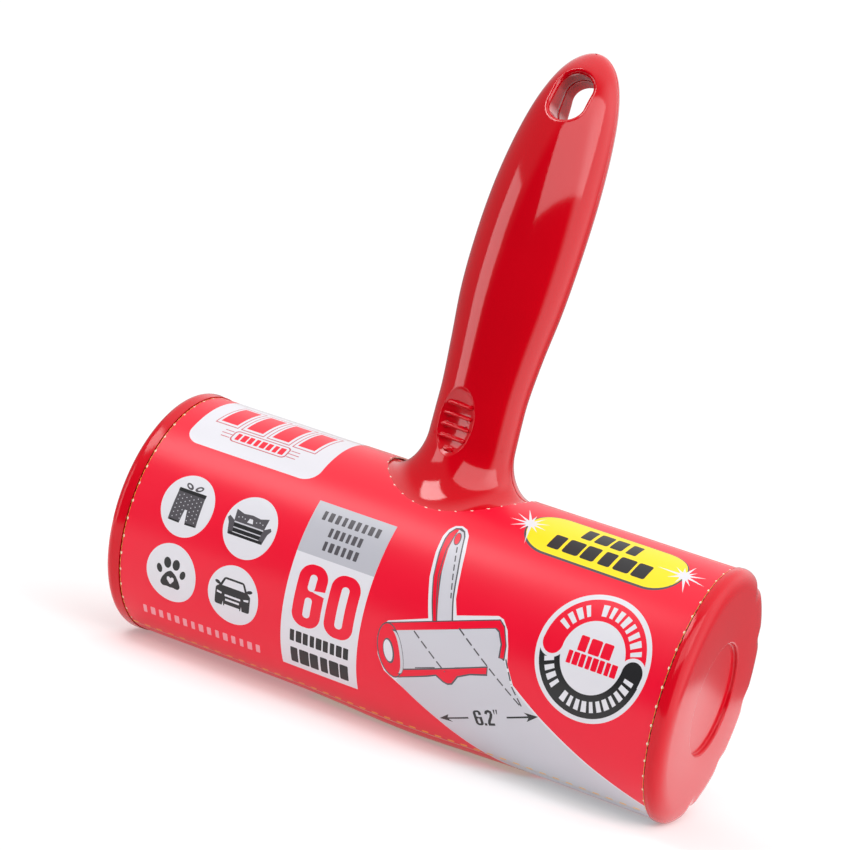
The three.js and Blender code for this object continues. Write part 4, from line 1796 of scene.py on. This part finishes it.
    def _drawn_drum(self) -> None:
        """The drawing's drum: pale, with a red rim, a red round end and the red cover below."""
        self.add(
            Ink.GREY,
            [
                (3.2, -3.0), (33.8, 7.75), (35.6, 6.4), (37.6, 1.8), (38.1, -2.0), (34.2, -5.6), (9.8, -15.0),
                (4.6, -9.4),
            ],
        )
        self.add(
            Ink.RED,
            [
                (3.5, -3.2), (33.7, 7.4), (35.4, 6.1), (37.3, 1.8), (37.7, -1.6), (36.7, -1.8), (36.3, 1.8),
                (34.6, 4.8), (33.4, 5.3), (5.0, -4.9),
            ],
        )
        self.add(
            Ink.SHEET,
            [
                (5.4, -4.6), (33.2, 5.0), (34.4, 4.4), (35.9, 1.6), (36.3, -2.2), (33.8, -5.2), (9.9, -14.4),
                (9.2, -9.4),
            ],
        )
        self.add(
            Ink.SHEET, [(33.2, -5.6), (34.4, -2.0), (37.2, -1.9), (38.6, -2.6), (37.0, -7.5), (34.0, -7.6)]
        )
        self.add(
            Ink.GREY,
            [
                (8.2, -17.9), (10.0, -14.3), (34.0, -5.0), (34.4, -7.6), (29.6, -9.1), (26.4, -10.9),
                (25.0, -13.6), (23.7, -14.2), (22.2, -13.9), (20.0, -12.8), (17.8, -13.9),
            ],
        )
        self.add(
            Ink.RED,
            [
                (8.7, -17.4), (10.1, -14.7), (33.8, -5.5), (34.0, -7.2), (29.4, -8.7), (26.0, -10.6),
                (24.7, -13.2), (23.6, -13.7), (22.4, -13.5), (20.0, -12.3), (17.4, -13.6),
            ],
        )
        self.add(Ink.GREY, oval((5.9, -10.4), (3.75, 7.9), 17))
        self.add(Ink.RED, oval((5.9, -10.4), (3.45, 7.5), 17))
        self.add(Ink.GREY, oval((7.6, -10.3), (2.2, 6.4), 17, 40))
        self.add(Ink.SHEET, oval((7.75, -10.3), (1.9, 6.0), 17, 40))
        self.add(Ink.RED, oval((6.9, -10.4), (1.9, 6.2), 17, 40))
        self.add(Ink.GREY, oval((5.5, -10.5), (1.65, 3.6), 17, 32))
        self.add(Ink.WHITE, oval((5.35, -10.5), (1.3, 3.1), 17, 32))
        self.dashes(Ink.GREY, (13.8, -12.6), (20.2, -10.2), 6.0, 1.0, 0.3)
        self.dashes(Ink.GREY, (25.0, -8.6), (33.8, -5.3), 5.0, 0.8, 0.3)

    def _arrow(self, tail: Pair, tip: Pair) -> None:
        """Print an arrow.

        Args:
            tail: where it starts.
            tip: where it points.
        """
        a, b = np.array(tail), np.array(tip)
        heading = (b - a) / np.linalg.norm(b - a)
        aside = np.array([-heading[1], heading[0]])
        self.add(Ink.BLACK, stroke([tuple(a), tuple(b - heading * 2.0)], 0.55))
        back = b - heading * 3.9
        self.add(Ink.BLACK, np.array([b, back + aside * 1.4, b - heading * 2.8, back - aside * 1.4]))

    def _width_mark(self, at: Pair, tilt_deg: float) -> None:
        """Print the sheet's width in inches: 6.2 and the inch mark, from strokes.

        Args:
            at: its middle.
            tilt_deg: its turn, anticlockwise.
        """

        def put(ink: Ink, polygon: Array) -> None:
            """Print a polygon, leaning and turned, at the mark."""
            leaning = polygon + np.stack([polygon[:, 1] * 0.12, 0 * polygon[:, 1]], axis=-1)
            self.add(ink, leaning @ spin(tilt_deg) + at)

        put(Ink.BLACK, rounded_box((-2.9, 0.0), (1.25, 2.5), 1.0))
        put(Ink.SHEET, rounded_box((-2.9, -0.95), (0.4, 0.85), 0.3))
        put(Ink.SHEET, rounded_box((-2.9, 1.2), (0.4, 0.75), 0.3))
        put(Ink.SHEET, np.array([(-2.75, 1.0), (-1.4, 1.0), (-1.4, 0.5), (-2.75, 0.3)]))
        put(Ink.BLACK, rounded_box((-1.05, -2.1), (0.4, 0.4), 0.12))
        two = [
            (-0.15, 1.3), (0.1, 2.0), (0.75, 2.2), (1.35, 1.9), (1.5, 1.2), (1.2, 0.3), (0.4, -1.0),
            (0.1, -2.0),
        ]
        put(Ink.BLACK, stroke(two, 0.85))
        put(Ink.BLACK, rounded_box((0.85, -2.1), (1.05, 0.4), 0.1))
        for step in (2.55, 3.35):
            put(
                Ink.BLACK,
                np.array([(step - 0.25, 2.6), (step + 0.25, 2.6), (step + 0.1, 1.2), (step - 0.1, 1.2)]),
            )


class RearArtwork(Artwork):
    """What is printed on the back: the far end of the white panel."""

    def __init__(self) -> None:
        """Print the panel that comes over the top."""
        super().__init__()
        self.add(Ink.WHITE, rounded_box((-53.1, 47.2), (20.9, 20.4), 4.6))


@dataclass
class PaperSleeve:
    """The printed paper sleeve: front panel, back panel, the strip below the tear line, and its glue."""

    drum: Drum
    art_radius: float = 34.8
    thickness: float = 0.42
    hole: Pair = (21.1, 21.7)
    tear_deg: float = -64.0
    split_deg: float = 90.0
    rear_end_deg: float = 268.2
    slack_deg: float = 0.3
    left_bare: float = 1.3
    cell: float = 2.4
    end_gap: float = 0.3
    nib_pitch: float = 5.1
    glue_ends: Pair = (-23.9, 42.9)
    glue_degs: Pair = (-91.2, -75.3)
    glue_floor: float = 34.52
    bulge: float = 1.15
    bulge_at: Pair = (8.0, -44.0)
    bulge_half: Pair = (22.0, 8.5)

    def arc(self, angle_deg: float) -> float:
        """Arc length up the artwork at an angle."""
        return math.radians(angle_deg) * self.art_radius

    def radius(self, u: Array, v: Array) -> Array:
        """The sleeve's outer radius at a point of the artwork.

        The paper lies round the drum, swells where the cover's tab lifts it, and waves by a few
        hundredths of a millimetre. It never reaches below the caps.

        Args:
            u: places along x.
            v: arc lengths.

        Returns:
            The radii.
        """
        off = (
            (u - self.bulge_at[0]) / self.bulge_half[0]
        ) ** 2 + ((v - self.bulge_at[1]) / self.bulge_half[1]) ** 2
        swell = self.bulge * np.exp(-off)
        wave = 0.03 * np.sin(u / 13.0 + 1.3) * np.sin(v / 9.0) + 0.02 * np.sin(u / 5.7 + v / 11.0)
        angle = v / self.art_radius
        room = (self.drum.axis_height - 0.06) / np.maximum(np.abs(np.sin(angle)), 0.5)
        below = np.sin(angle) < 0
        full = self.drum.sleeve_radius - 0.05 + wave + swell
        return np.where(below, np.minimum(full, room), full)

    def wrap(self, flat: Array, depth: float) -> Array:
        """Wrap points of the artwork on to the drum, a depth below the paper's face."""
        u, v = flat[:, 0], flat[:, 1]
        return self.drum.point(u, v / self.art_radius, self.radius(u, v) - depth)

    def neck_arc(self, first_deg: float, last_deg: float, nibs: int) -> Array:
        """The edge round the handle's neck, as points of the artwork.

        In plan it is an oval. Where a nib was cut through, the edge stands 0.35 mm into the hole.

        Args:
            first_deg: first direction in plan, 0 to the right and -90 to the front.
            last_deg: last direction.
            nibs: the number of nibs.

        Returns:
            Points by 2.
        """
        steps = 140
        share = np.linspace(0, 1, steps)
        turn = np.radians(first_deg + (last_deg - first_deg) * share)
        near = np.abs((share * (nibs + 1)) % 1 - 0.5) * 2
        nib = 0.38 * np.clip(1 - (1 - near) * 9, 0, 1)
        ragged = 0.05 * np.sin(share * 173.0) + 0.04 * np.sin(share * 71.0)
        x = (self.hole[0] - nib + ragged) * np.cos(turn)
        y = (self.hole[1] - nib + ragged) * np.sin(turn)
        angle = np.arccos(np.clip(-y / self.drum.sleeve_radius, -1, 1))
        return np.stack([x, angle * self.art_radius], axis=-1)

    def end_edge(self, low: float, high: float, hand: int) -> Array:
        """The sleeve's cut end, as points of the artwork: slightly ragged, with a nib every 5 mm.

        Args:
            low: the first arc length.
            high: the last.
            hand: 1 for the right end and -1 for the left.

        Returns:
            Points by 2.
        """
        v = np.arange(low, high, 0.35)
        near = np.abs((v / self.nib_pitch) % 1 - 0.5) * 2
        nib = 0.22 * np.clip(1 - (1 - near) * 8, 0, 1)
        ragged = 0.05 * np.sin(v * 2.9) + 0.04 * np.sin(v * 7.3 + hand)
        reach = self.drum.half_length - self.end_gap - (self.left_bare if hand < 0 else 0.0)
        return np.stack([hand * (reach + nib + ragged), v], axis=-1)

    def panel(self, name: str, outline: Array, art: Artwork, node: str, body: str) -> None:
        """Build one panel of the sleeve from its flat outline and its artwork.

        The artwork's polygons, the outline and a grid of points are triangulated together. Each
        triangle takes the ink of the last polygon printed over it, and the flat sheet is wrapped
        round the drum. A second face lies under the first, and a strip along the edge joins them.

        Args:
            name: the piece's name.
            outline: the panel's outline on the artwork.
            art: what is printed on it.
            node: the CAD node that it stands for.
            body: the body that it rides on.
        """
        low, high = outline.min(axis=0), outline.max(axis=0)
        spans = [np.arange(a + self.cell / 2, b, self.cell) for a, b in zip(low, high)]
        cells = np.stack(np.meshgrid(*spans), axis=-1).reshape(-1, 2)
        seen = [(ink, p) for ink, p in art.shapes if (p.max(0) > low).all() and (p.min(0) < high).all()]
        polygons = [self._finer(self._anticlockwise(p)) for p in [outline] + [p for _, p in seen]]
        starts = np.cumsum([0] + [len(p) for p in polygons])
        faces = [list(range(a, b)) for a, b in zip(starts[:-1], starts[1:])]
        flat_in = np.vstack(polygons + [cells])
        verts, _, tris, _, _, owners = delaunay_2d_cdt(
            [Vector(p) for p in flat_in.tolist()], [], faces, 0, 1e-5, True
        )
        flat = np.array([tuple(v) for v in verts])
        chosen = [(t, max(o)) for t, o in zip(tris, owners) if 0 in o]
        inks = [Ink.RED] + [ink for ink, _ in seen]
        slots = np.array([inks[o].value for _, o in chosen])
        corners = np.array([t for t, _ in chosen])
        a, b, c = (flat[corners[:, i]] for i in range(3))
        area = (b[:, 0] - a[:, 0]) * (c[:, 1] - a[:, 1]) - (b[:, 1] - a[:, 1]) * (c[:, 0] - a[:, 0])
        corners = np.where((area > 0)[:, None], corners, corners[:, ::-1])
        used, corners = np.unique(corners, return_inverse=True)
        corners = corners.reshape(-1, 3)
        flat = flat[used]
        self._wrapped(name, flat, corners, slots, node, body)

    def _finer(self, polygon: Array) -> Array:
        """The polygon with points added along its sides, so that none is longer than a grid cell.

        Args:
            polygon: corners by 2.

        Returns:
            Corners by 2.
        """
        side = np.roll(polygon, -1, axis=0) - polygon
        count = np.maximum(1, np.ceil(np.linalg.norm(side, axis=1) / (self.cell * 0.8))).astype(int)
        owner = np.repeat(np.arange(len(polygon)), count)
        share = (np.arange(len(owner)) - np.repeat(np.cumsum(count) - count, count)) / count[owner]
        return polygon[owner] + side[owner] * share[:, None]

    @staticmethod
    def _anticlockwise(polygon: Array) -> Array:
        """The polygon, turned over if its signed area is negative."""
        x, y = polygon[:, 0], polygon[:, 1]
        return polygon if np.sum(x * np.roll(y, -1) - np.roll(x, -1) * y) > 0 else polygon[::-1]

    def _wrapped(self, name: str, flat: Array, corners: Array, slots: Array, node: str, body: str) -> None:
        """Make the mesh of a panel from its flat triangles, with normals square to the drum.

        Args:
            name: the piece's name.
            flat: points of the artwork.
            corners: each triangle's three points.
            slots: each triangle's ink.
            node: the CAD node that it stands for.
            body: the body that it rides on.
        """
        count = len(flat)
        top, under = self.wrap(flat, 0.0), self.wrap(flat, self.thickness)
        sides = np.concatenate([corners[:, [0, 1]], corners[:, [1, 2]], corners[:, [2, 0]]])
        code = sides[:, 0] * count + sides[:, 1]
        back = sides[:, 1] * count + sides[:, 0]
        rim = sides[~np.isin(code, back)]
        quads = np.stack([rim[:, 0], rim[:, 0] + count, rim[:, 1] + count, rim[:, 1]], axis=-1)
        mesh = bpy.data.meshes.new(name)
        faces = corners.tolist() + (corners[:, ::-1] + count).tolist() + quads.tolist()
        mesh.from_pydata((np.vstack([top, under]) * MM).tolist(), [], faces)
        index = np.concatenate([slots, np.full(len(corners) + len(quads), Ink.PAPER.value)])
        mesh.polygons.foreach_set("material_index", index.astype(np.int32))
        mesh.polygons.foreach_set("use_smooth", np.ones(len(faces), bool))
        for ink in Ink:
            mesh.materials.append(INK_FINISHES[ink].material())
        normal = self._normals(flat)
        points = np.vstack([top, under])
        p = points[quads]
        flatways = np.cross(p[:, 1] - p[:, 0], p[:, 3] - p[:, 0])
        flatways /= np.linalg.norm(flatways, axis=1, keepdims=True) + 1e-12
        loops = np.concatenate(
            [
                normal[corners].reshape(-1, 3),
                -normal[corners[:, ::-1]].reshape(-1, 3),
                np.repeat(flatways, 4, axis=0),
            ]
        )
        mesh.normals_split_custom_set(loops.tolist())
        made = bpy.data.objects.new(name, mesh)
        bpy.context.scene.collection.objects.link(made)
        place_piece(made, body, "printed_paper", node)

    def _normals(self, flat: Array) -> Array:
        """Normals of the wrapped face, from its slopes across and round the drum.

        Args:
            flat: points of the artwork.

        Returns:
            One normal for each point.
        """
        step = 0.05
        across = self.wrap(flat + (step, 0), 0) - self.wrap(flat - (step, 0), 0)
        up = self.wrap(flat + (0, step), 0) - self.wrap(flat - (0, step), 0)
        normal = np.cross(across, up)
        return normal / np.linalg.norm(normal, axis=1, keepdims=True)

    def build(self) -> None:
        """Build the three panels and the glue."""
        half = self.drum.half_length - self.end_gap
        left = half - self.left_bare
        tear = self.arc(self.tear_deg + self.slack_deg)
        top = self.arc(self.split_deg - self.slack_deg)
        hole = self.neck_arc(-179.0, -1.0, 15)
        hole = hole[hole[:, 1] < top]
        front = np.vstack(
            [
                self.end_edge(tear, top, 1),
                [(half, top)],
                hole[::-1],
                [(-left, top)],
                self.end_edge(tear, top, -1)[::-1],
            ]
        )
        front_art = FrontArtwork()
        self.cut_marks(front_art, tear, top, hole)
        self.panel("sleeve_front_printed", front, front_art, "sleeve_front_panel", "sleeve_front")
        rear_top = self.arc(self.split_deg + self.slack_deg)
        rear_end = self.arc(self.rear_end_deg - self.slack_deg)
        rear_hole = self.neck_arc(179.0, 1.0, 15)
        rear_hole = rear_hole[rear_hole[:, 1] > rear_top]
        rear = np.vstack(
            [
                self.end_edge(rear_top, rear_end, 1),
                [(half, rear_end), (-left, rear_end)],
                self.end_edge(rear_top, rear_end, -1)[::-1],
                [(-left, rear_top)],
                rear_hole,
                [(half, rear_top)],
            ]
        )
        rear_art = RearArtwork()
        self.cut_marks(rear_art, rear_top, rear_end, rear_hole)
        self.panel("sleeve_rear_printed", rear, rear_art, "sleeve_rear_panel", "sleeve_rear")
        self._strip(half, left)

    def _strip(self, half: float, left: float) -> None:
        """The strip below the tear line, cut back round the glue, and the bead of glue itself.

        Args:
            half: the sleeve's right end.
            left: its left end's distance from the middle.
        """
        top = self.arc(self.tear_deg - self.slack_deg)
        end = self.arc(self.rear_end_deg - 360 + self.slack_deg)
        first, last = self.glue_ends
        low, high = (self.arc(degrees) for degrees in self.glue_degs)
        from_x, to_x, notch = first - 0.5, last + 0.5, self.arc(self.glue_degs[1] + 0.9)
        strip = np.array(
            [
                (half, end),
                (half, top),
                (-left, top),
                (-left, end),
                (from_x, end),
                (from_x, notch),
                (to_x, notch),
                (to_x, end),
            ]
        )
        self.panel("sleeve_seam_printed", strip[::-1], FrontArtwork(), "sleeve_seam_strip", "case")
        u = np.linspace(first, last, 120)[:, None]
        share = np.linspace(0, 1, 22)[None]
        v = low + (high - low) * share
        lump = 0.22 * np.sin(u * 0.9 + 4 * share) * np.sin(u * 0.37 + 1) + 0.1 * np.sin(u * 2.3 + 9 * share)
        bead = 0.25 * np.sin(np.pi * share) ** 0.5 * np.sin(
            np.pi * np.clip((u - first) / (last - first), 0, 1)
        ) ** 0.3
        room = (self.drum.axis_height - 0.05) / np.abs(np.sin(v / self.art_radius))
        outer = np.minimum(self.radius(u, v) + bead * 0.6 + lump * bead, room)
        inner = np.full_like(outer, self.glue_floor)
        skin = Skin()
        faces = np.stack([self.drum.point(u, v / self.art_radius, r) for r in (outer, inner)])
        for face in faces:
            skin.grid(face)
        for edge in (0, -1):
            skin.grid(faces[:, :, edge])
            skin.grid(faces[:, edge])
        place_piece(skin.piece("sleeve_glue_bead", HOT_GLUE), "case", "hot_glue", "sleeve_glue_strip")

    def cut_marks(self, art: Artwork, low: float, high: float, hole: Array) -> None:
        """Print bare paper where the nibs were cut, and the gold cuts of the tear line.

        Args:
            art: the panel's artwork.
            low: the panel's lowest arc length.
            high: its highest.
            hole: the edge round the neck.
        """
        half = self.drum.half_length
        for v in np.arange(math.ceil(low / self.nib_pitch) * self.nib_pitch, high, self.nib_pitch):
            for hand in (-1, 1):
                edge = half - 0.35 - (self.left_bare if hand < 0 else 0.0)
                art.add(Ink.PAPER, rounded_box((hand * edge, float(v)), (0.36, 0.38), 0.15))
        for hand in (-1, 1):
            edge = hand * (half - self.end_gap - (self.left_bare if hand < 0 else 0.0))
            art.add(Ink.GOLD, stroke([(edge, low), (edge, high)], 0.16))
        share = (np.arange(15) + 1.0) / 16
        spots = hole[np.clip((share * len(hole)).astype(int), 0, len(hole) - 1)]
        for u, v in spots:
            art.add(Ink.PAPER, rounded_box((float(u), float(v)), (0.38, 0.34), 0.12))
        if low < 0:
            for u in np.arange(-79, 80, 3.9):
                art.add(Ink.GOLD, rounded_box((u + 0.6, low + 0.85), (0.98, 0.42), 0.25, 5))


# ---------------------------------------------------------------------------------------------
# Studio
# ---------------------------------------------------------------------------------------------


@dataclass
class Studio:
    """A pale floor, soft lights, a white backdrop and the camera."""

    drum: Drum
    azimuth: float = 22.72
    elevation: float = 6.34
    roll: float = 15.29
    distance: float = 718.99
    aside: Pair = (-1.54, 48.29)
    focal: float = 110.12
    dark_azimuth: float = 18.0

    def camera(self) -> None:
        """Place the camera: it looks along one line and is moved aside from the drum's centre."""
        a, e, r = (math.radians(x) for x in (self.azimuth, self.elevation, self.roll))
        back = Vector((math.sin(a) * math.cos(e), -math.cos(a) * math.cos(e), math.sin(e)))
        right = Vector((math.cos(a), math.sin(a), 0))
        up = back.cross(right)
        turned_right = right * math.cos(r) + up * math.sin(r)
        turned_up = up * math.cos(r) - right * math.sin(r)
        place = back * self.distance + turned_right * self.aside[0] + turned_up * self.aside[1]
        place += Vector((0, 0, self.drum.axis_height))
        data = bpy.data.cameras.new("camera")
        data.lens, data.sensor_width = self.focal, 36.0
        data.clip_start, data.clip_end = 0.05, 50.0
        made = bpy.data.objects.new("camera", data)
        axes = Matrix((turned_right, turned_up, back)).transposed().to_4x4()
        made.matrix_world = Matrix.Translation(place * MM) @ axes
        bpy.context.scene.collection.objects.link(made)
        bpy.context.scene.camera = made

    def floor(self) -> None:
        """A pale round table, lit a little from below, so that it fades into the backdrop."""
        finish = Finish(
            "studio_floor_painted_white",
            base="dcdcdc",
            cloud="dadada",
            roughness=0.9,
            roughness_spread=0.02,
            specular=0.1,
            cloud_mm=400,
            grain_mm=40,
            relief_mm=0.0001,
            glow=0.36,
        )
        turn = np.linspace(0, 2 * np.pi, 96, endpoint=False)[None]
        reach = np.array([0.0, 80.0, 160.0, 240.0])[:, None]
        front = np.where(np.sin(turn) < 0, 0.7, 1.0)
        points = np.stack(
            np.broadcast_arrays(reach * np.cos(turn), reach * np.sin(turn) * front, 0.0 * reach), axis=-1
        )
        skin = Skin()
        skin.grid(points - (0, 0, 0.02), loop_columns=True)
        skin.piece("studio_floor", finish)

    def softbox(
        self, name: str, azimuth: float, elevation: float, distance: float, size: Pair, power: float
    ) -> None:
        """Hang a rectangular softbox that faces the roller.

        Args:
            name: its name.
            azimuth: its direction in degrees, 0 in front and 90 to the right.
            elevation: its height in degrees.
            distance: its distance in millimetres.
            size: its width and height in millimetres.
            power: its power in watts.
        """
        a, e = math.radians(azimuth), math.radians(elevation)
        aim = Vector((0, 0, 70 * MM))
        heading = Vector((math.sin(a) * math.cos(e), -math.cos(a) * math.cos(e), math.sin(e)))
        data = bpy.data.lights.new(name, "AREA")
        data.shape, data.size, data.size_y, data.energy = "RECTANGLE", size[0] * MM, size[1] * MM, power
        made = bpy.data.objects.new(name, data)
        made.location = aim + heading * distance * MM
        made.rotation_mode = "QUATERNION"
        made.rotation_quaternion = heading.to_track_quat("Z", "Y")
        bpy.context.scene.collection.objects.link(made)

    def surroundings(self) -> None:
        """White walls behind and at the sides, and a dark room in front, behind the camera.

        Seen straight on, the backdrop is white from every side. In reflections a round patch of the
        front is dark, which gives the gloss its deep middle.
        """
        world = bpy.data.worlds.new("studio")
        bpy.context.scene.world = world
        world.use_nodes = True
        tree = world.node_tree
        tree.nodes.clear()
        heading = add_node(tree, "ShaderNodeTexCoord").outputs["Generated"]
        a = math.radians(self.dark_azimuth)
        front = self._lobe(tree, heading, (math.sin(a), -math.cos(a), -0.12), (0.44, 0.66), (1.0, 0.0))
        right = self._lobe(tree, heading, (1.0, 0.0, 0.0), (0.5, 0.85), (0.0, 1.2))
        back = self._lobe(tree, heading, (0.0, 0.6, 0.8), (0.5, 0.8), (0.0, 0.85))
        sides = add_node(tree, "ShaderNodeMath", {"operation": "ADD"}, {0: right, 1: back})
        bright = add_node(tree, "ShaderNodeMath", {"operation": "ADD"}, {0: sides.outputs[0], 1: 0.25})
        level = add_node(
            tree, "ShaderNodeMath", {"operation": "MULTIPLY_ADD"}, {0: bright.outputs[0], 1: front, 2: 0.03}
        )
        room = add_node(
            tree, "ShaderNodeBackground", None, {"Color": (1, 1, 1, 1), "Strength": level.outputs[0]}
        )
        plain = add_node(tree, "ShaderNodeBackground", None, {"Color": (1, 1, 1, 1), "Strength": 1.05})
        seen = add_node(tree, "ShaderNodeLightPath").outputs["Is Camera Ray"]
        both = add_node(tree, "ShaderNodeMixShader", None, {0: seen, 1: room.outputs[0], 2: plain.outputs[0]})
        add_node(tree, "ShaderNodeOutputWorld", None, {"Surface": both.outputs[0]})

    @staticmethod
    def _lobe(
        tree: Tree, heading: Socket, towards: tuple[float, float, float], edges: Pair, levels: Pair
    ) -> Socket:
        """A soft-edged round patch of the surroundings: its level outside and inside its edges.

        Args:
            tree: the node tree.
            heading: the direction looked at.
            towards: the patch's middle.
            edges: the cosines at its outer and inner edge.
            levels: the level outside and inside.

        Returns:
            The level.
        """
        facing = add_node(
            tree, "ShaderNodeVectorMath", {"operation": "DOT_PRODUCT"}, {0: heading, 1: towards}
        )
        patch = add_node(
            tree,
            "ShaderNodeMapRange",
            {"interpolation_type": "SMOOTHSTEP"},
            {
                "Value": facing.outputs["Value"],
                "From Min": edges[0],
                "From Max": edges[1],
                "To Min": levels[0],
                "To Max": levels[1],
            },
        )
        return patch.outputs["Result"]

    def build(self) -> None:
        """Set up the whole studio."""
        self.floor()
        self.surroundings()
        self.softbox("softbox_left", -54, 4, 1100, (480, 760), 3.0)
        self.softbox("softbox_front_top", 44, 40, 1300, (2200, 800), 14.0)
        self.softbox("softbox_top", -50, 54, 1300, (460, 460), 4.6)
        bpy.context.scene.view_settings.view_transform = "Standard"


def main() -> None:
    """Build the roller piece by piece and light it."""
    logging.basicConfig(level=logging.INFO, format="%(message)s")
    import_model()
    drum = Drum.from_frame()
    studio = Studio(drum)
    studio.camera()
    Handle(drum).build()
    CaseDrum(drum).build()
    EndCap(drum, lip_from=79.75, lip_inner=34.35).build(-1, "left_end_cap", "case")
    EndCap(drum).build(1, "right_end_cap", "right_cap")
    HandleScrews().build()
    Cover(drum).build()
    StickyRoll(drum).build()
    PaperSleeve(drum).build()
    studio.build()
    bpy.context.view_layer.update()


if __name__ == "__main__":
    main()
